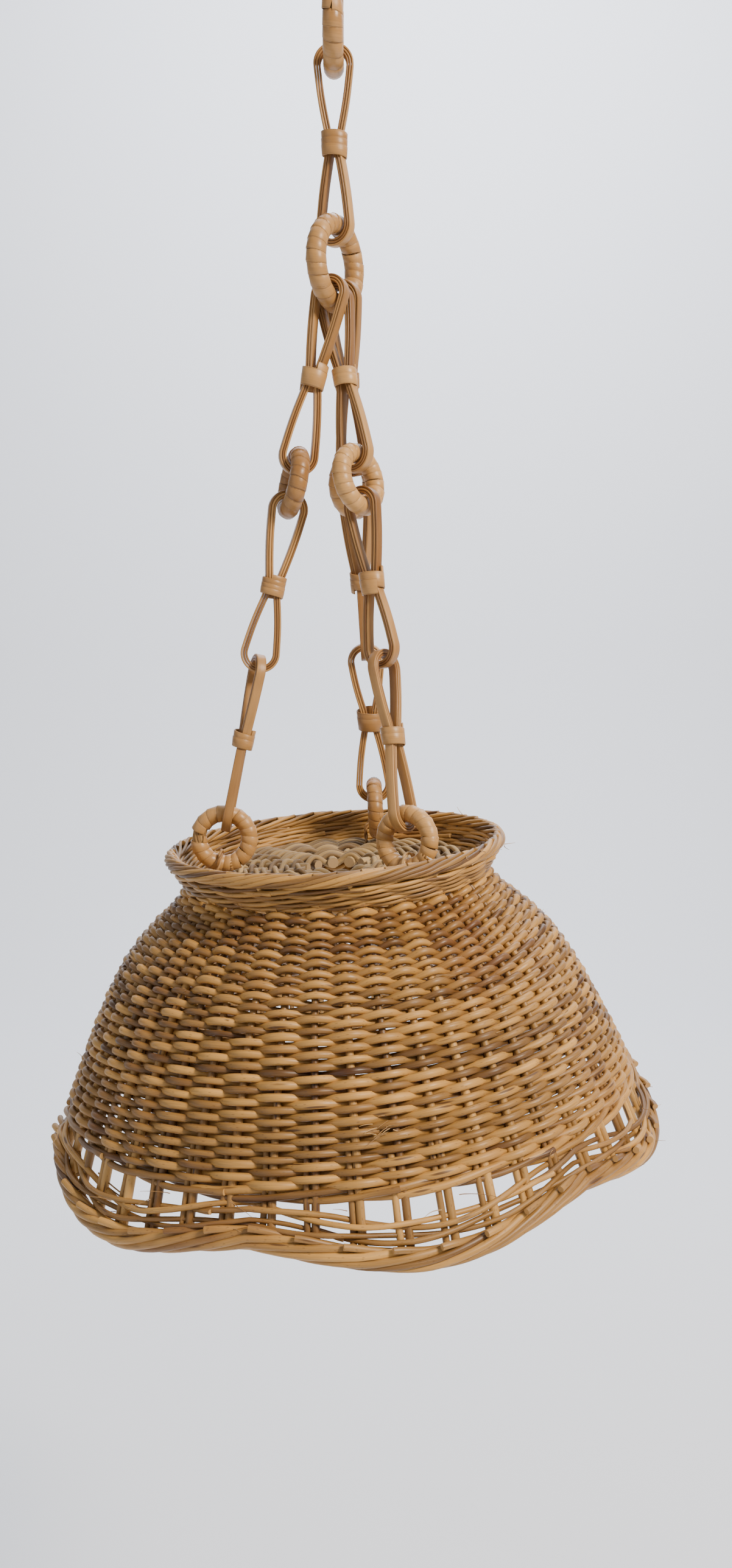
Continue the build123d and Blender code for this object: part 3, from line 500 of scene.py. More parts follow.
def woundStrip():
    # a flat strip wound round a path that lies in the XY plane, each turn lapping the last
    tree, given = newTree("woundStrip", {
        "Turns": 15.0, "Steps": 20, "Start": 0.0, "Radius flat": 0.0052, "Radius up": 0.0052, "Width": 0.008,
        "Thickness": 0.0007, "Lap tilt": 0.06, "Inner pinch": 0.0, "Unevenness": 0.05, "Seed": 1})
    outline = addNode(tree, "GeometryNodeMeshToCurve", {"Mesh": given["Geometry"]})
    line = addNode(tree, "GeometryNodeCurvePrimitiveLine", {"Start": (0, 0, 0), "End": (1, 0, 0)})
    count = addNode(tree, "ShaderNodeMath", {0: given["Turns"], 1: given["Steps"], 2: 1.0}, operation="MULTIPLY_ADD")
    pointed = addNode(tree, "GeometryNodeResampleCurve", {"Curve": line, "Count": count})
    sharing = addNode(tree, "GeometryNodeSplineParameter").outputs["Factor"]
    shared = addNode(tree, "GeometryNodeStoreNamedAttribute", {"Geometry": pointed, "Name": "share", "Value": sharing},
                     data_type="FLOAT", domain="POINT")
    share = addNode(tree, "GeometryNodeInputNamedAttribute", {"Name": "share"}, data_type="FLOAT")
    numbered = addNode(tree, "GeometryNodeStoreNamedAttribute", {"Geometry": shared, "Name": "rod", "Value": 0.0},
                       data_type="FLOAT", domain="POINT")
    turns = addNode(tree, "ShaderNodeMath", {0: share, 1: given["Turns"], 2: given["Start"]}, operation="MULTIPLY_ADD")
    # the pitch wanders a little from turn to turn
    own = addNode(tree, "ShaderNodeTexNoise", {"W": turns, "Scale": 1.3, "Detail": 1.0}, noise_dimensions="1D")
    ownShift = addNode(tree, "ShaderNodeMath", {0: own, 1: 0.5}, operation="SUBTRACT")
    perTurn = addNode(tree, "ShaderNodeMath", {0: given["Unevenness"], 1: given["Turns"]}, operation="DIVIDE")
    pushed = addNode(tree, "ShaderNodeMath", {0: ownShift, 1: perTurn}, operation="MULTIPLY")
    pushedMore = addNode(tree, "ShaderNodeMath", {0: pushed, 1: 9.0, 2: share}, operation="MULTIPLY_ADD")
    held = addNode(tree, "ShaderNodeClamp", {0: pushedMore})
    core = addNode(tree, "GeometryNodeSampleCurve", {"Curves": outline, "Factor": held}, mode="FACTOR",
                   use_all_curves=True)
    side = addNode(tree, "ShaderNodeVectorMath", {0: core.outputs["Tangent"], 1: (0, 0, 1)}, operation="CROSS_PRODUCT")
    sideWay = addNode(tree, "ShaderNodeVectorMath", {0: side}, operation="NORMALIZE")
    angle = addNode(tree, "ShaderNodeMath", {0: turns, 1: 2 * math.pi}, operation="MULTIPLY")
    cosine = addNode(tree, "ShaderNodeMath", {0: angle}, operation="COSINE")
    sine = addNode(tree, "ShaderNodeMath", {0: angle}, operation="SINE")
    swell = addNode(tree, "ShaderNodeMath", {0: ownShift, 1: given["Unevenness"], 2: 1.0}, operation="MULTIPLY_ADD")
    flatReach = addNode(tree, "ShaderNodeMath", {0: cosine, 1: given["Radius flat"]}, operation="MULTIPLY")
    upReach = addNode(tree, "ShaderNodeMath", {0: sine, 1: given["Radius up"]}, operation="MULTIPLY")
    flatPart = addNode(tree, "ShaderNodeVectorMath", {0: sideWay, "Scale": flatReach}, operation="SCALE")
    upPart = addNode(tree, "ShaderNodeCombineXYZ", {2: upReach})
    both = addNode(tree, "ShaderNodeVectorMath", {0: flatPart, 1: upPart}, operation="ADD")
    reach = addNode(tree, "ShaderNodeVectorMath", {0: both, "Scale": swell}, operation="SCALE")
    place = addNode(tree, "ShaderNodeVectorMath", {0: core.outputs["Position"], 1: reach}, operation="ADD")
    # out of the wound face: an ellipse's normal
    faceFlat = addNode(tree, "ShaderNodeMath", {0: cosine, 1: given["Radius up"]}, operation="MULTIPLY")
    faceUp = addNode(tree, "ShaderNodeMath", {0: sine, 1: given["Radius flat"]}, operation="MULTIPLY")
    faceSide = addNode(tree, "ShaderNodeVectorMath", {0: sideWay, "Scale": faceFlat}, operation="SCALE")
    faceTop = addNode(tree, "ShaderNodeCombineXYZ", {2: faceUp})
    faceSum = addNode(tree, "ShaderNodeVectorMath", {0: faceSide, 1: faceTop}, operation="ADD")
    faceWay = addNode(tree, "ShaderNodeVectorMath", {0: faceSum}, operation="NORMALIZE")
    faced = addNode(tree, "GeometryNodeStoreNamedAttribute", {"Geometry": numbered, "Name": "face", "Value": faceWay},
                    data_type="FLOAT_VECTOR", domain="POINT")
    pinch = addNode(tree, "ShaderNodeMapRange", {"Value": cosine, "From Min": 1.0, "From Max": -1.0,
                                                  "To Min": 0.0, "To Max": given["Inner pinch"]})
    scale = addNode(tree, "ShaderNodeMath", {0: 1.0, 1: pinch}, operation="SUBTRACT")
    kept = addNode(tree, "GeometryNodeStoreNamedAttribute", {"Geometry": faced, "Name": "pinch", "Value": scale},
                   data_type="FLOAT", domain="POINT")
    placed = addNode(tree, "GeometryNodeSetPosition", {"Geometry": kept, "Position": place})
    face = addNode(tree, "GeometryNodeInputNamedAttribute", {"Name": "face"}, data_type="FLOAT_VECTOR")
    turnedOut = addNode(tree, "GeometryNodeSetCurveNormal", {"Curve": placed, "Normal": face}, mode="FREE")
    tilted = addNode(tree, "GeometryNodeSetCurveTilt", {"Curve": turnedOut, "Tilt": given["Lap tilt"]})
    sizes = addNode(tree, "GeometryNodeInputNamedAttribute", {"Name": "pinch"}, data_type="FLOAT")
    box = addNode(tree, "GeometryNodeCurvePrimitiveQuadrilateral", {"Width": given["Thickness"],
                                                                     "Height": given["Width"]})
    rounding = addNode(tree, "ShaderNodeMath", {0: given["Thickness"], 1: 0.42}, operation="MULTIPLY")
    section = addNode(tree, "GeometryNodeFilletCurve", {"Curve": box, "Radius": rounding, "Count": 1}, mode="POLY")
    edgy = addNode(tree, "GeometryNodeInputPosition")
    apart = addNode(tree, "ShaderNodeSeparateXYZ", {0: edgy})
    halfThick = addNode(tree, "ShaderNodeMath", {0: given["Thickness"], 1: 0.5}, operation="MULTIPLY")
    halfWidth = addNode(tree, "ShaderNodeMath", {0: given["Width"], 1: 0.5}, operation="MULTIPLY")
    thickShare = addNode(tree, "ShaderNodeMath", {0: apart.outputs[0], 1: halfThick}, operation="DIVIDE")
    widthShare = addNode(tree, "ShaderNodeMath", {0: apart.outputs[1], 1: halfWidth}, operation="DIVIDE")
    edge = addNode(tree, "ShaderNodeCombineXYZ", {0: thickShare, 1: widthShare})
    edged = addNode(tree, "GeometryNodeStoreNamedAttribute", {"Geometry": section, "Name": "edge", "Value": edge},
                    data_type="FLOAT_VECTOR", domain="POINT")
    sweepRods(tree, given, tilted, edged, sizes.outputs[0])
    return tree


def bentPlies():
    # flat splits bent round a loop, one outside the other; the guide carries its outward way and its flat way
    tree, given = newTree("bentPlies", {"Plies": 3, "Ply": 0.00128, "Gap": 0.00010, "Width": 0.0053,
                                        "Unevenness": 0.0003, "Seed": 1})
    guide = addNode(tree, "GeometryNodeMeshToCurve", {"Mesh": given["Geometry"]})
    many = addNode(tree, "GeometryNodeDuplicateElements", {"Geometry": guide, "Amount": given["Plies"]},
                   domain="SPLINE")
    loop = addNode(tree, "GeometryNodeInputNamedAttribute", {"Name": "loop"}, data_type="FLOAT")
    name = addNode(tree, "ShaderNodeMath", {0: loop, 1: 10.0, 2: many.outputs[1]}, operation="MULTIPLY_ADD")
    numbered = addNode(tree, "GeometryNodeStoreNamedAttribute", {"Geometry": many, "Name": "rod", "Value": name},
                       data_type="FLOAT", domain="POINT")
    rod = addNode(tree, "GeometryNodeInputNamedAttribute", {"Name": "rod"}, data_type="FLOAT")
    out = addNode(tree, "GeometryNodeInputNamedAttribute", {"Name": "out"}, data_type="FLOAT_VECTOR")
    flat = addNode(tree, "GeometryNodeInputNamedAttribute", {"Name": "flat"}, data_type="FLOAT_VECTOR")
    layer = addNode(tree, "ShaderNodeMath", {0: given["Ply"], 1: given["Gap"]}, operation="ADD")
    index = addNode(tree, "ShaderNodeMath", {0: rod, 1: 10.0}, operation="MODULO")
    middle = addNode(tree, "ShaderNodeMath", {0: index, 1: 0.5}, operation="ADD")
    offset = addNode(tree, "ShaderNodeMath", {0: middle, 1: layer}, operation="MULTIPLY")
    low = addNode(tree, "ShaderNodeMath", {0: given["Unevenness"], 1: -1.0}, operation="MULTIPLY")
    slip = addNode(tree, "FunctionNodeRandomValue", {2: low, 3: given["Unevenness"], "ID": rod,
                                                      "Seed": given["Seed"]}, data_type="FLOAT")
    outShift = addNode(tree, "ShaderNodeVectorMath", {0: out, "Scale": offset}, operation="SCALE")
    flatShift = addNode(tree, "ShaderNodeVectorMath", {0: flat, "Scale": slip.outputs[1]}, operation="SCALE")
    shift = addNode(tree, "ShaderNodeVectorMath", {0: outShift, 1: flatShift}, operation="ADD")
    placed = addNode(tree, "GeometryNodeSetPosition", {"Geometry": numbered, "Offset": shift})
    turnedOut = addNode(tree, "GeometryNodeSetCurveNormal", {"Curve": placed, "Normal": out}, mode="FREE")
    box = addNode(tree, "GeometryNodeCurvePrimitiveQuadrilateral", {"Width": given["Ply"], "Height": given["Width"]})
    rounding = addNode(tree, "ShaderNodeMath", {0: given["Ply"], 1: 0.36}, operation="MULTIPLY")
    section = addNode(tree, "GeometryNodeFilletCurve", {"Curve": box, "Radius": rounding, "Count": 2}, mode="POLY")
    spot = addNode(tree, "GeometryNodeInputPosition")
    apart = addNode(tree, "ShaderNodeSeparateXYZ", {0: spot})
    halfThick = addNode(tree, "ShaderNodeMath", {0: given["Ply"], 1: 0.5}, operation="MULTIPLY")
    halfWidth = addNode(tree, "ShaderNodeMath", {0: given["Width"], 1: 0.5}, operation="MULTIPLY")
    thickShare = addNode(tree, "ShaderNodeMath", {0: apart.outputs[0], 1: halfThick}, operation="DIVIDE")
    widthShare = addNode(tree, "ShaderNodeMath", {0: apart.outputs[1], 1: halfWidth}, operation="DIVIDE")
    edge = addNode(tree, "ShaderNodeCombineXYZ", {0: thickShare, 1: widthShare})
    edged = addNode(tree, "GeometryNodeStoreNamedAttribute", {"Geometry": section, "Name": "edge", "Value": edge},
                    data_type="FLOAT_VECTOR", domain="POINT")
    sweepRods(tree, given, turnedOut, edged, 1.0)
    return tree


def looseRods():
    # round rods and hairs laid along given guides
    tree, given = newTree("looseRods", {"Butt": 0.0011, "Tip": 0.7, "Sides": 8, "Seed": 1})
    guide = addNode(tree, "GeometryNodeMeshToCurve", {"Mesh": given["Geometry"]})
    share = addNode(tree, "GeometryNodeSplineParameter").outputs["Factor"]
    loss = addNode(tree, "ShaderNodeMath", {0: given["Tip"], 1: -1.0}, operation="ADD")
    taper = addNode(tree, "ShaderNodeMath", {0: loss, 1: share, 2: 1.0}, operation="MULTIPLY_ADD")
    girth = addNode(tree, "ShaderNodeMath", {0: taper, 1: given["Butt"]}, operation="MULTIPLY")
    section = addNode(tree, "GeometryNodeCurvePrimitiveCircle", {"Resolution": given["Sides"], "Radius": 1.0})
    sweepRods(tree, given, guide, section, girth)
    return tree


trees = {"rounds": wovenRounds(), "stakes": setStakes(), "wound": woundStrip(), "plies": bentPlies(),
         "loose": looseRods()}
print("node trees built:", ", ".join(trees))

scratch = ("along", "girth", "section", "share", "face", "pinch", "rod", "out", "flat", "loop")


def guideMesh(name, lines, closed=False, **fields):
    # polylines as one mesh of edges; each field gives one value per point
    points, edges = [], []
    for line in lines:
        first = len(points)
        points += [tuple(p) for p in line]
        edges += [(first + i, first + i + 1) for i in range(len(line) - 1)]
        if closed:
            edges.append((len(points) - 1, first))
    mesh = bpy.data.meshes.new(name)
    mesh.from_pydata(points, edges, [])
    for field, values in fields.items():
        vector = hasattr(values[0], "__len__")
        layer = mesh.attributes.new(field, "FLOAT_VECTOR" if vector else "FLOAT", "POINT")
        for item, value in zip(layer.data, values):
            if vector:
                item.vector = value
            else:
                item.value = value
    return mesh


def grow(name, tree, guide, settings, finish, place=None):
    # runs a tree on a guide and keeps the result as a plain mesh, set where it belongs
    piece = bpy.data.objects.new(name, guide)
    bpy.context.scene.collection.objects.link(piece)
    modifier = piece.modifiers.new("grow", "NODES")
    modifier.node_group = trees[tree]
    for item in trees[tree].interface.items_tree:
        if item.in_out == "INPUT" and item.name in settings:
            whole = item.socket_type == "NodeSocketInt"
            modifier[item.identifier] = int(settings[item.name]) if whole else float(settings[item.name])
        if item.in_out == "INPUT" and item.name == "Material":
            modifier[item.identifier] = finishes[finish]
    bpy.context.view_layer.update()
    graph = bpy.context.evaluated_depsgraph_get()
    mesh = bpy.data.meshes.new_from_object(piece.evaluated_get(graph), preserve_all_data_layers=True, depsgraph=graph)
    piece.modifiers.clear()
    piece.data = mesh
    mesh.name = name
    if place is not None:
        mesh.transform(place)
    for extra in scratch:
        if extra in mesh.attributes:
            mesh.attributes.remove(mesh.attributes[extra])
    return piece


def settle(piece, body, slot, *nodes):
    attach(piece, body)
    if nodes:
        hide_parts(*nodes)


def smoothLine(corners, perSpan):
    # Catmull-Rom through the corners
    ends = [2 * corners[0] - corners[1]] + corners + [2 * corners[-1] - corners[-2]]
    line = []
    for a, b, c, d in zip(ends, ends[1:], ends[2:], ends[3:]):
        for step in range(perSpan):
            t = step / perSpan
            line.append(0.5 * (2 * b + (c - a) * t + (2 * a - 5 * b + 4 * c - d) * t * t
                               + (3 * b - a - 3 * c + d) * t ** 3))
    return line + [corners[-1]]


# the basket, in its own frame: z up its leaning axis from the plane of its mouth
basket = {
    "foot": (5.5, 2.1, -630.2), "leanSideways": 3.2, "leanForward": 1.95, "stakes": 48, "firstStake": 2.0,
    "wall": [(159.4, 30.0), (150.6, 50.0), (136.9, 79.2), (123.5, 102.8), (108.3, 120.2), (94.7, 131.8),
             (84.0, 144.9)],
    "skirt": [(170.0, 0.0), (166.6, 10.5), (162.8, 21.0)],
    "bows": 6, "bowMiddle": 283.5, "bowDepth": 6.4,
}


def basketPlace():
    sideways, forward = math.radians(basket["leanSideways"]), math.radians(basket["leanForward"])
    across = Vector((math.cos(sideways), 0, math.sin(sideways)))
    axis = Vector((-math.sin(sideways) * math.cos(forward), -math.sin(forward), math.cos(sideways) * math.cos(forward)))
    across = (across - axis * across.dot(axis)).normalized()
    place = Matrix((across, axis.cross(across), axis)).transposed().to_4x4()
    place.translation = Vector(basket["foot"]) * mm
    return place


inBasket = basketPlace()
firstHeading = math.radians(basket["firstStake"])
sagHeading = math.radians(basket["bowMiddle"])
wallLine = smoothLine([Vector((r, 0, z)) * mm for r, z in basket["wall"]], 8)
stakeLine = smoothLine([Vector((r, 0, z)) * mm for r, z in basket["skirt"] + basket["wall"]], 8)
wallLength = sum((b - a).length for a, b in zip(wallLine, wallLine[1:]))


weaving = {"rounds": 48, "rodsPerRound": 3, "butt": 2.22, "tip": 0.78, "depth": 3.6, "lift": 0.28, "unevenness": 0.5}


def weaveSides():
    half = weaving["rounds"] // 2
    for name, low, seed in (("side_weave_lower", 0, 11), ("side_weave_upper", half, 12)):
        shares = (low / weaving["rounds"], (low + half) / weaving["rounds"])
        total = wallLength
        # resample the wall so that each half starts and ends exactly on a row
        fine = []
        for i in range(41):
            target = total * (shares[0] + (shares[1] - shares[0]) * i / 40)
            walked = 0.0
            for a, b in zip(wallLine, wallLine[1:]):
                step = (b - a).length
                if walked + step >= target - 1e-9:
                    fine.append(a + (b - a) * ((target - walked) / step))
                    break
                walked += step
        settings = {
            "Rods": half * weaving["rodsPerRound"], "Rods per round": weaving["rodsPerRound"], "Rounds": half,
            "Stakes": basket["stakes"], "First heading": firstHeading, "Span": 16.5, "Step": 16, "Shift": 5,
            "Start": 1.0 if low % 2 == 0 else 2.0, "Points": 16 * (8 if low == 0 else 6) + 4, "Twist": 0.5,
            "Phase": 0.0 if low % 2 == 0 else 0.5, "Round phase": 0.5, "Depth": weaving["depth"] * mm, "Lift": weaving["lift"] * mm,
            "Butt": weaving["butt"] * mm, "Tip": weaving["tip"], "End throw": -0.0016, "Start throw": -0.0010,
            "End share": 0.03, "Unevenness": weaving["unevenness"] * mm, "Sides": 8 if low == 0 else 7, "Seed": seed}
        piece = grow(name, "rounds", guideMesh(name, [fine]), settings, "boiled willow, weavers", inBasket)
        settle(piece, "basket", "willow_weave", "side_weaving")
        print(name, len(piece.data.polygons), "faces")


stakes = {"butt": 2.35, "tip": 0.78, "byeButt": 1.85}


def standStakes():
    settings = {"Count": basket["stakes"], "First heading": firstHeading, "From": 0.0, "To": 1.0, "Points": 44,
                "Butt": stakes["butt"] * mm, "Tip": stakes["tip"], "Sag": basket["bowDepth"] * mm,
                "Sag heading": sagHeading, "Bows": basket["bows"], "Sag from": 0.023, "Sag full": 0.003,
                "Unevenness": 0.012, "Sides": 10, "Seed": 21}
    piece = grow("wall_stakes", "stakes", guideMesh("wall_stakes", [stakeLine]), settings, "boiled willow, stakes",
                 inBasket)
    settle(piece, "basket", "willow_stake", "side_stakes", "skirt_uprights")
    settings.update({"First heading": firstHeading - math.radians(1.5), "To": 0.34, "Uneven top": 0.09,
                     "Butt": stakes["byeButt"] * mm, "Tip": 0.9, "Points": 20, "Seed": 22, "Sides": 8})
    piece = grow("bye_stakes", "stakes", guideMesh("bye_stakes", [stakeLine]), settings, "boiled willow, stakes",
                 inBasket)
    settle(piece, "basket", "willow_stake")
    print("stakes stood")


# ropes of rods round the mouth and rim: radius and height of the round, then how its rods run
ropes = {
    "skirt_wale_rods": {
        "node": "skirt_wale", "at": (160.0, 27.0), "Rods": 12, "Rods per round": 12, "Span": 12.9, "Step": 4,
        "Twist": 1 / 6, "Rod phase": 1 / 3, "Depth": 3.0, "Lift": 2.3, "Butt": 2.1, "Tip": 0.82, "Points": 110,
        "End throw": 2.2, "End share": 0.05, "Start throw": -1.5, "Sag": 0.0, "Unevenness": 0.8, "Sides": 10},
    "upper_fitch_rods": {
        "node": "upper_fitch", "at": (165.8, 17.4), "Rods": 6, "Rods per round": 6, "Span": 16.6, "Step": 8,
        "Twist": 10 / 48, "Rod phase": 0.5, "Depth": 2.9, "Lift": 1.4, "Butt": 1.6, "Sag": 5.7, "Tip": 0.82, "Points": 130,
        "End throw": 2.0, "End share": 0.03, "Start throw": -1.0, "Unevenness": 0.6, "Sides": 8},
    "lower_fitch_rods": {
        "node": "lower_fitch", "at": (168.4, 11.3), "Rods": 6, "Rods per round": 6, "Span": 16.6, "Step": 8,
        "Twist": 10 / 48, "Rod phase": 0.5, "Phase": 0.25, "Start": 3.0, "Depth": 2.9, "Lift": 1.4, "Butt": 1.6,
        "Sag": 4.9,
        "Tip": 0.82, "Points": 130, "End throw": 2.0, "End share": 0.03, "Start throw": -1.0, "Unevenness": 0.6,
        "Sides": 8},
    "scallop_border_rods": {
        "node": "scallop_border", "at": (171.2, 3.3), "Rods": 48, "Rods per round": 48, "Span": -7.4, "Step": 1,
        "Twist": 0.14, "Rod phase": -0.14, "Phase": 0.25, "Depth": 3.4, "Lift": 3.9, "Butt": 2.0, "Tip": 0.86,
        "Points": 46, "End throw": 3.2, "End rise": 2.8, "End share": 0.13, "Start throw": -1.0, "Unevenness": 1.0,
        "Sides": 12},
    "rim_border_rods": {
        "node": "rim_border", "at": (93.6, 165.0), "Rods": 48, "Rods per round": 48, "Span": -8.0, "Step": 1,
        "Twist": 0.12, "Rod phase": -0.12, "Phase": 0.25, "Depth": 3.2, "Lift": 2.9, "Butt": 1.4, "Tip": 0.8,
        "Points": 36, "End throw": 1.6, "End rise": 0.6, "End share": 0.2, "Start throw": -0.6, "Sag": 0.0,
        "Unevenness": 1.0, "Sides": 9},
}
inMillimetres = ("Depth", "Lift", "Butt", "End throw", "End rise", "Start throw", "Unevenness", "Sag")


def twistRopes():
    for seed, (name, rope) in enumerate(ropes.items()):
        radius, height = rope["at"]
        outline = [Vector((radius, 0, height + dz)) * mm for dz in (-0.5, 0.5)]
        settings = {"Rounds": 1, "Stakes": basket["stakes"], "First heading": firstHeading, "Shift": 0, "Start": 0.0,
                    "Sag": basket["bowDepth"], "Sag heading": sagHeading, "Bows": basket["bows"], "Seed": 31 + seed,
                    "Phase": 0.0, "Round phase": 0.0, **rope}
        settings = {key: value * mm if key in inMillimetres else value for key, value in settings.items()}
        piece = grow(name, "rounds", guideMesh(name, [outline]), settings, "boiled willow, weavers", inBasket)
        settle(piece, "basket", "willow_weave", rope["node"])
    print("wale, fitches and borders twisted")


collar = {"low": (84.8, 148.6), "high": (92.4, 161.2), "rounds": 5}


def weaveCollar():
    outline = [Vector((r, 0, z)) * mm for r, z in (collar["low"], collar["high"])]
    settings = {"Rods": 12 * collar["rounds"], "Rods per round": 12, "Rounds": collar["rounds"],
                "Stakes": basket["stakes"], "First heading": firstHeading + math.radians(3.75), "Span": 12.6,
                "Step": 4, "Shift": 2, "Start": 0.0, "Points": 90, "Twist": 1 / 6, "Phase": 0.0,
                "Rod phase": 1 / 3, "Round phase": 0.4, "Depth": 2.1 * mm, "Lift": 1.0 * mm, "Butt": 1.35 * mm,
                "Tip": 0.8, "End throw": 0.9 * mm, "End share": 0.04, "Start throw": -0.8 * mm,
                "Unevenness": 0.7 * mm, "Sides": 8, "Seed": 41}
    piece = grow("collar_wales", "rounds", guideMesh("collar_wales", [outline]), settings, "boiled willow, weavers",
                 inBasket)
    settle(piece, "basket", "willow_weave", "collar_weaving")
    outline = [Vector((r, 0, z)) * mm for r, z in ((82.6, 144.5), (85.0, 149.0), (92.6, 162.0), (92.8, 165.5))]
    settings = {"Count": basket["stakes"], "First heading": firstHeading + math.radians(3.75), "From": 0.0, "To": 1.0,
                "Uneven top": 0.1, "Points": 10, "Butt": 1.7 * mm, "Tip": 0.9, "Sides": 8, "Unevenness": 0.02,
                "Seed": 42}
    piece = grow("collar_uprights", "stakes", guideMesh("collar_uprights", [smoothLine(outline, 4)]), settings,
                 "boiled willow, stakes", inBasket)
    settle(piece, "basket", "willow_stake", "collar_stakes")
    print("collar woven")


base = {"hole": 18.0, "split": 44.0, "edge": 79.5, "height": 150.8, "crown": 1.0}


def weaveBase():
    top = base["height"]
    # inner rounds over twelve thick sticks, outer rounds over twenty-four split ones, woven from the edge inwards
    zones = [("base_weave_inner", base["hole"] + 2.5, base["split"], 12, 3.0, 1.75, 7, 51),
             ("base_weave_outer", base["split"] + 1.0, base["edge"], 24, 2.4, 1.6, 11, 52)]
    for name, low, high, count, depth, butt, rounds, seed in zones:
        outline = [Vector((high, 0, top)) * mm, Vector((low, 0, top + base["crown"])) * mm]
        settings = {"Rods": rounds * 2, "Rods per round": 2, "Rounds": rounds, "Stakes": count,
                    "First heading": math.radians(7.5), "Span": count / 2 + 0.4, "Step": count / 2, "Shift": 3,
                    "Start": 1.0, "Points": count * 6, "Twist": 0.5, "Phase": 0.0, "Round phase": 0.5,
                    "Depth": depth * mm, "Butt": butt * mm, "Tip": 0.85, "End throw": -0.001, "End share": 0.04,
                    "Unevenness": 0.5 * mm, "Sides": 8, "Seed": seed}
        piece = grow(name, "rounds", guideMesh(name, [outline]), settings, "weathered willow, base", inBasket)
        settle(piece, "basket", "base_willow", "base_weaving")
    for name, low, high, count, radius, seed in (("base_sticks_inner", base["hole"], 47.0, 12, 3.1, 53),
                                                  ("base_sticks_outer", 41.0, base["edge"] + 1, 24, 2.3, 54)):
        outline = [Vector((low, 0, top)) * mm, Vector((high, 0, top)) * mm]
        settings = {"Count": count, "First heading": math.radians(7.5), "From": 0.0, "To": 1.0, "Points": 8,
                    "Butt": radius * mm, "Tip": 0.9, "Sides": 10, "Unevenness": 0.05, "Seed": seed}
        piece = grow(name, "stakes", guideMesh(name, [outline]), settings, "weathered willow, base", inBasket)
        settle(piece, "basket", "base_willow", "base_sticks")
    print("base woven")


weaveSides()
standStakes()
twistRopes()
weaveCollar()
weaveBase()


# rings and links of the chains
def middleOf(node):
    low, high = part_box(node)
    return (low + high) / 2


def headingVector(heading):
    return Vector((math.cos(math.radians(heading)), math.sin(math.radians(heading)), 0))


def acrossLine(heading, line):
    flat = headingVector(heading)
    return (flat - line * flat.dot(line)).normalized()


down = Vector((0, 0, -1))
chainLines = {side: Vector(joints[f"{side}_ring_spin"]["axis"]).normalized() for side in ("left", "right", "back")}
for side, line in chainLines.items():
    if line.z > 0:
        chainLines[side] = -line

# node: (body, heading, radius, tube, turns, wrap start and end shares)
rings = {
    "top_ring": ("top_ring", 90.0, 21.0, 6.0, 21, 0.0),
    "junction_ring": ("junction_ring", 61.3, 21.0, 6.0, 24, 0.0),
    "left_ring": ("left_ring", 104, 14.75, 5.75, 19, 0.0),
    "right_ring": ("right_ring", 54, 14.75, 5.75, 20, 0.0),
    "back_ring": ("back_ring", 50, 14.75, 5.75, 19, 0.0),
    "left_base_ring": ("left_base_ring", 2, 14.25, 5.25, 17, 24.0),
    "right_base_ring": ("right_base_ring", -34, 14.25, 5.25, 19, 0.0),
    "back_base_ring": ("back_base_ring", 90, 14.25, 5.25, 19, 0.0),
}


def lineOf(name):
    side = name.split("_")[0]
    return chainLines.get(side, down)


def windRings():
    for seed, (name, (body, heading, radius, tube, turns, bare)) in enumerate(rings.items()):
        centre, line = middleOf(f"{name}_core"), lineOf(name)
        side = acrossLine(heading, line)
        normal = side.cross(line)
        place = Matrix((side, line, normal)).transposed().to_4x4()
        place.translation = centre
        start = math.pi + math.radians(bare / 2)
        sweep = 2 * math.pi - math.radians(bare)
        count = 72
        circle = [Vector((math.cos(start + sweep * i / count), math.sin(start + sweep * i / count), 0)) * radius * mm
                  for i in range(count + 1)]
        pitch = sweep * (radius + tube) / turns
        thickness = 0.62
        settings = {"Turns": turns, "Steps": 18, "Start": 0.13 * seed, "Radius flat": (tube - 0.75) * mm,
                    "Radius up": (tube - 0.75) * mm, "Width": pitch * 1.06 * mm, "Thickness": thickness * mm,
                    "Lap tilt": 0.035, "Inner pinch": 1.8 * tube / (radius + tube), "Unevenness": 0.05,
                    "Seed": 61 + seed}
        piece = grow(f"{name}_skein", "wound", guideMesh(name, [circle]), settings, "willow skein, wound", place)
        settle(piece, body, "cane_wrap", f"{name}_wrap")
        core = {"Rods": 12, "Rods per round": 12, "Rounds": 1, "Stakes": 12, "First heading": 0.1 * seed, "Span": 12.1,
                "Step": 0, "Shift": 0, "Start": 0.0, "Points": 60, "Twist": 0.09, "Phase": 0.0, "Rod phase": 1 / 12,
                "Round phase": 0.0, "Depth": (tube - 2.5) * mm, "Lift": (tube - 2.5) * mm, "Butt": 1.1 * mm,
                "Tip": 0.95, "Unevenness": 0.2 * mm, "Sides": 6, "Seed": 71 + seed}
        outline = [Vector((radius, 0, dz)) * mm for dz in (-0.5, 0.5)]
        piece = grow(f"{name}_straw", "rounds", guideMesh(name, [outline]), core, "dry straw, ring core", place)
        settle(piece, body, "straw_core", f"{name}_core")
    print("rings wound")


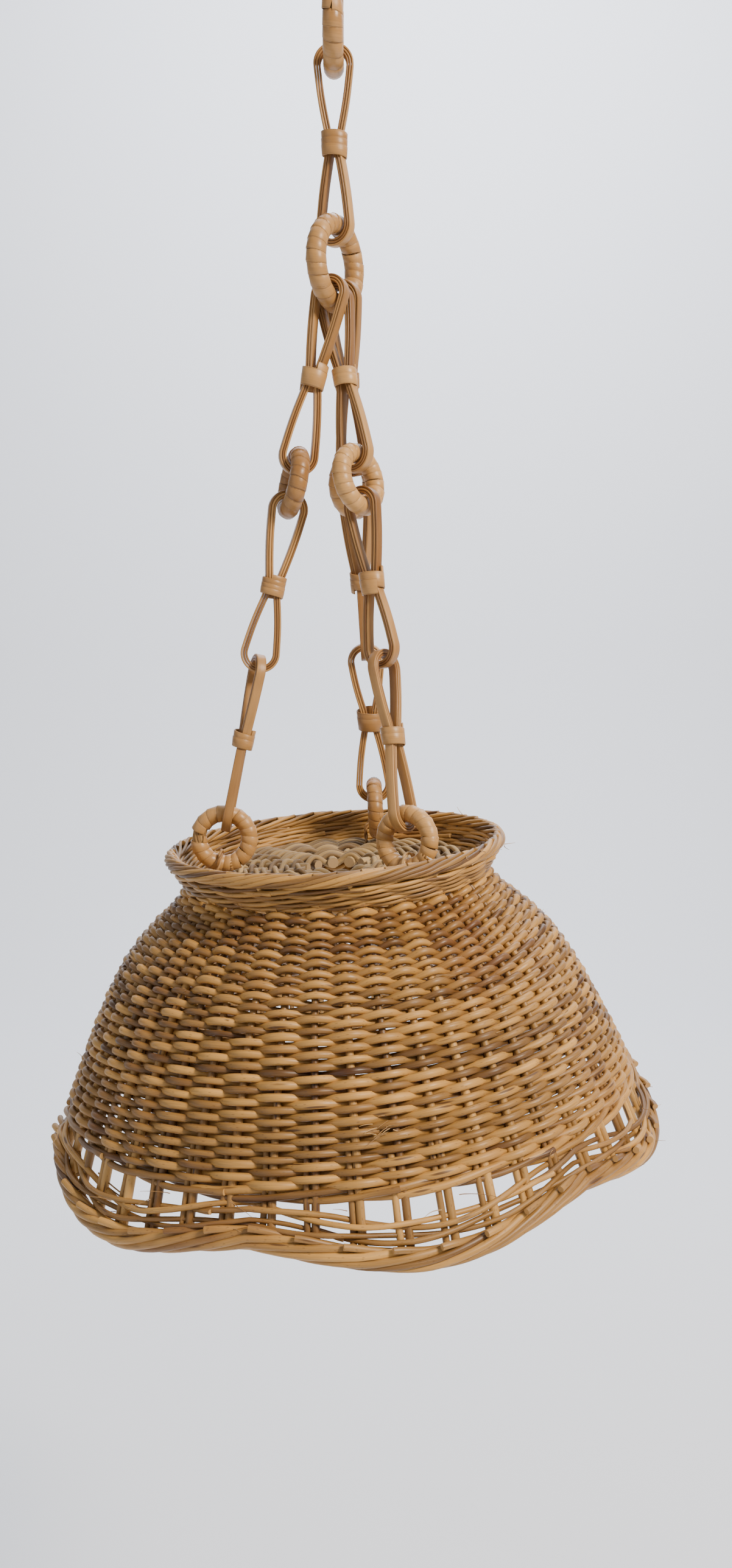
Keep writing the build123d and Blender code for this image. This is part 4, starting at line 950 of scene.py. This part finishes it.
# link: (body, top heading, bottom heading, what its loops hold, binding turns, radii of the binding)
links = {
    "upper_link": ("upper_link", 0.0, -28.7, ("top_ring", "junction_ring"), 2.6, (7.3, 6.4), 15.5),
    "left_link_1": ("basket", -28.7, 14, ("junction_ring", "left_ring"), 1.7, (7.0, 6.2), 16.5),
    "right_link_1": ("basket", -28.7, -36, ("junction_ring", "right_ring"), 2.4, (7.0, 6.3), 15.0),
    "back_link_1": ("basket", -28.7, -40, ("junction_ring", "back_ring"), 2.6, (6.8, 6.2), 14.0),
    "left_link_2": ("left_link_2", 14, 6, ("left_ring", "left_link_3"), 3.6, (6.9, 6.0), 13.5),
    "right_link_2": ("right_link_2", -36, -40, ("right_ring", "right_link_3"), 1.9, (7.2, 6.4), 16.0),
    "back_link_2": ("back_link_2", -40, -90, ("back_ring", "back_link_3"), 2.5, (7.0, 6.3), 14.0),
    "left_link_3": ("left_link_3", 108, 92, ("left_link_2", "left_base_ring"), 2.2, (6.7, 6.2), 12.5),
    "right_link_3": ("right_link_3", 50, 56, ("right_link_2", "right_base_ring"), 2.3, (7.0, 6.3), 14.0),
    "back_link_3": ("back_link_3", 0, 0, ("back_link_2", "back_base_ring"), 1.8, (7.6, 6.9), 15.0),
}
ply = {"count": 3, "thickness": 1.24, "gap": 0.12, "width": 5.3, "eye": 7.0, "legGap": 1.5, "bindingHalf": 7.5}
junctionSeats = {"left_link_1": 8.9, "right_link_1": 7.0, "back_link_1": 9.1}


def loopGuide(middle, away, heading, seat):
    # inner line of one loop from inside the binding, round the bend and back; with its outward and flat ways
    side = acrossLine(heading, away)
    flat = side.cross(away)
    bend, radius = seat - ply["eye"], ply["eye"]
    foot = Vector((ply["legGap"], ply["bindingHalf"] - 0.5))
    gap = Vector((foot.x, foot.y - bend))
    meet = math.atan2(gap.y, gap.x) + math.acos(radius / gap.length)
    touch = Vector((math.cos(meet), math.sin(meet)))
    leg = []
    for i in range(13):  # from deep in the binding, out along the leg
        t = i / 12
        x = foot.x + (touch.x * radius - foot.x) * t + 0.55 * math.sin(math.pi * t)
        leg.append((Vector((x, foot.y + (touch.y * radius + bend - foot.y) * t)), touch))
    deep = [(Vector((0.6, -1.0)), Vector((1, 0))), (Vector((1.0, foot.y * 0.5)), Vector((1, 0)))]
    bendPart = []
    steps = 22
    for i in range(1, steps):
        a = meet + (math.pi - 2 * meet) * i / steps
        way = Vector((math.cos(a), math.sin(a)))
        bendPart.append((Vector((way.x * radius, way.y * radius + bend)), way))
    half = deep + leg
    mirrored = [(Vector((-p.x, p.y)), Vector((-w.x, w.y))) for p, w in reversed(half)]
    points, outs = [], []
    for spot, way in half + bendPart + mirrored:
        points.append(middle + (side * spot.x + away * spot.y) * mm)
        outs.append(side * way.x + away * way.y)
    return points, outs, [flat] * len(points)


def seatOf(name, other, middle, line):
    # from the link's middle to the inside of its bend
    if name in junctionSeats and other == "junction_ring":
        half = {side: pitchOf(side) / 2 for side in chainLines}[name.split("_")[0]]
        return half + junctionSeats[name]
    if other in rings:
        radius, tube = rings[other][2], rings[other][3]
        reach = (middleOf(f"{other}_core") - middle).length / mm - radius
        return reach + tube + (1.6 if other == "junction_ring" else 0.9)
    reach = (middleOf(f"{other}_binding") - middle).length / mm / 2
    return reach + 1.2


def pitchOf(side):
    return (middleOf(f"{side}_link_3_binding") - middleOf(f"{side}_link_2_binding")).length / mm


def bendLinks():
    for seed, (name, (body, topHeading, bottomHeading, holds, turns, radii, height)) in enumerate(links.items()):
        middle, line = middleOf(f"{name}_binding"), lineOf(name)
        top = loopGuide(middle, -line, topHeading, seatOf(name, holds[0], middle, line))
        bottom = loopGuide(middle, line, bottomHeading, seatOf(name, holds[1], middle, line))
        guide = guideMesh(name, [top[0], bottom[0]], out=top[1] + bottom[1], flat=top[2] + bottom[2],
                          loop=[0.0] * len(top[0]) + [1.0] * len(bottom[0]))
        settings = {"Plies": ply["count"], "Ply": ply["thickness"] * mm, "Gap": ply["gap"] * mm,
                    "Width": ply["width"] * mm, "Unevenness": 0.22 * mm, "Seed": 81 + seed}
        piece = grow(f"{name}_splits", "plies", guide, settings, "willow splits, links")
        settle(piece, body, "cane_link", name)
        # binding: its own x runs down the line
        side = acrossLine((topHeading + bottomHeading) / 2 if name != "back_link_2" else -65, line)
        place = Matrix((line, side, line.cross(side))).transposed().to_4x4()
        place.translation = middle
        width = height / max(turns, 1.0) * 1.02
        run = (height - width) / 2
        core = [Vector((-run + 2 * run * i / 12, 0, 0)) * mm for i in range(13)]
        settings = {"Turns": turns, "Steps": 28, "Start": 0.3 * seed, "Radius flat": (radii[0] - 0.45) * mm,
                    "Radius up": (radii[1] - 0.45) * mm, "Width": width * mm, "Thickness": 0.75 * mm,
                    "Lap tilt": 0.07, "Inner pinch": 0.0, "Unevenness": 0.06, "Seed": 91 + seed}
        piece = grow(f"{name}_band", "wound", guideMesh(name, [core]), settings, "willow skein, wound", place)
        settle(piece, body, "cane_wrap", f"{name}_binding")
    print("links bent and bound")


windRings()
bendLinks()

tie = {"reach": 7.05, "depth": 8.0, "rod": 0.72, "twist": 0.62, "turns": 3.4, "points": 60}


def twistTies():
    # two thin splits twisted together over the foot of each base ring and down into the base
    for seed, (side, line) in enumerate(chainLines.items()):
        heading, radius = rings[f"{side}_base_ring"][1:3]
        foot = middleOf(f"{side}_base_ring_core") + line * radius * mm
        across = acrossLine(heading - 90, line)
        level = across.cross(line)
        total = 2 * tie["depth"] + math.pi * tie["reach"]
        lines = []
        for strand in (0.0, math.pi):
            spots = []
            for i in range(tie["points"] + 1):
                walked = total * i / tie["points"]
                if walked < tie["depth"]:
                    centre, out = across * tie["reach"] + line * (tie["depth"] - walked), across
                elif walked < total - tie["depth"]:
                    angle = (walked - tie["depth"]) / tie["reach"]
                    out = across * math.cos(angle) - line * math.sin(angle)
                    centre = out * tie["reach"]
                else:
                    centre, out = -across * tie["reach"] + line * (walked - total + tie["depth"]), -across
                turn = strand + 2 * math.pi * tie["turns"] * i / tie["points"]
                spots.append(foot + (centre + (out * math.cos(turn) + level * math.sin(turn)) * tie["twist"]) * mm)
            lines.append(spots)
        count = len(lines[0])
        guide = guideMesh(f"{side}_tie_guide", lines, rod=[float(i // count) for i in range(2 * count)])
        piece = grow(f"{side}_tie_splits", "loose", guide,
                     {"Butt": tie["rod"] * mm, "Tip": 0.9, "Sides": 8, "Seed": 101 + seed}, "split willow, ties")
        settle(piece, "basket", "willow_split", f"{side}_tie")
    print("ties twisted")


twistTies()

# hairs and frayed bits left by the knife: thin fibres that stand off the rods
frays = {
    "skirt": {"count": 46, "radius": (164.0, 176.0), "height": (-2.0, 30.0), "length": (5.0, 17.0)},
    "wall": {"count": 34, "radius": (0.0, 0.0), "height": (40.0, 140.0), "length": (3.0, 10.0)},
    "rim": {"count": 16, "radius": (93.0, 99.0), "height": (158.0, 169.0), "length": (4.0, 12.0)},
}
frayedSpot = {"heading": 277.0, "height": 57.0, "spread": 5.0, "count": 16}   # a tuft of torn bark on the front
crossingRods = [(216.0, 17.0, 229.0, 11.0), (219.0, 12.5, 231.0, 9.0)]        # heading and height of both ends
hair = {"butt": 0.26, "tip": 0.35, "points": 7}


def wallRadius(height):
    for (farther, lower), (nearer, upper) in zip(basket["wall"], basket["wall"][1:]):
        if lower <= height <= upper:
            return farther + (nearer - farther) * (height - lower) / (upper - lower)
    return basket["wall"][0][0]


def standOff(dice, heading, radius, height, length):
    # one hair that leaves the surface along the weave and curls away from it
    along = headingVector(heading + 90) * dice.choice((-1, 1))
    outward, up = headingVector(heading), Vector((0, 0, 1))
    rise, curl = dice.uniform(-0.5, 0.5), dice.uniform(0.15, 0.75)
    spots = []
    for i in range(hair["points"]):
        t = i / (hair["points"] - 1)
        reach = along * length * t + up * length * rise * t + outward * length * curl * t * t
        spots.append((outward * radius + up * height + reach) * mm)
    return spots


def growFrays():
    dice = random.Random(7)
    lines = []
    for name, zone in frays.items():
        for _ in range(zone["count"]):
            height = dice.uniform(*zone["height"])
            radius = wallRadius(height) + 5.4 if name == "wall" else dice.uniform(*zone["radius"])
            lines.append(standOff(dice, dice.uniform(0, 360), radius, height, dice.uniform(*zone["length"])))
    for _ in range(frayedSpot["count"]):
        height = frayedSpot["height"] + dice.uniform(-1, 1) * frayedSpot["spread"]
        heading = frayedSpot["heading"] + dice.uniform(-1, 1) * frayedSpot["spread"] / 2.6
        lines.append(standOff(dice, heading, wallRadius(height) + 5.2, height, dice.uniform(3.5, 8.0)))
    rods = [float(i) for i, line in enumerate(lines) for _ in line]
    guide = guideMesh("frays", lines, rod=rods)
    piece = grow("frayed_fibres", "loose", guide, {"Butt": hair["butt"] * mm, "Tip": hair["tip"], "Sides": 5,
                                                   "Seed": 111}, "split willow, ties", inBasket)
    settle(piece, "basket", "willow_weave")
    lines = []
    for start, startHeight, end, endHeight in crossingRods:
        lines.append([(headingVector(start + (end - start) * i / 9) * 163.5
                       + Vector((0, 0, startHeight + (endHeight - startHeight) * i / 9))) * mm for i in range(10)])
    guide = guideMesh("crossing", lines, rod=[float(i) for i, line in enumerate(lines) for _ in line])
    piece = grow("crossing_rods", "loose", guide, {"Butt": 0.45 * mm, "Tip": 0.8, "Sides": 7, "Seed": 112},
                 "boiled willow, stakes", inBasket)
    settle(piece, "basket", "willow_weave")
    print("frays grown")


growFrays()
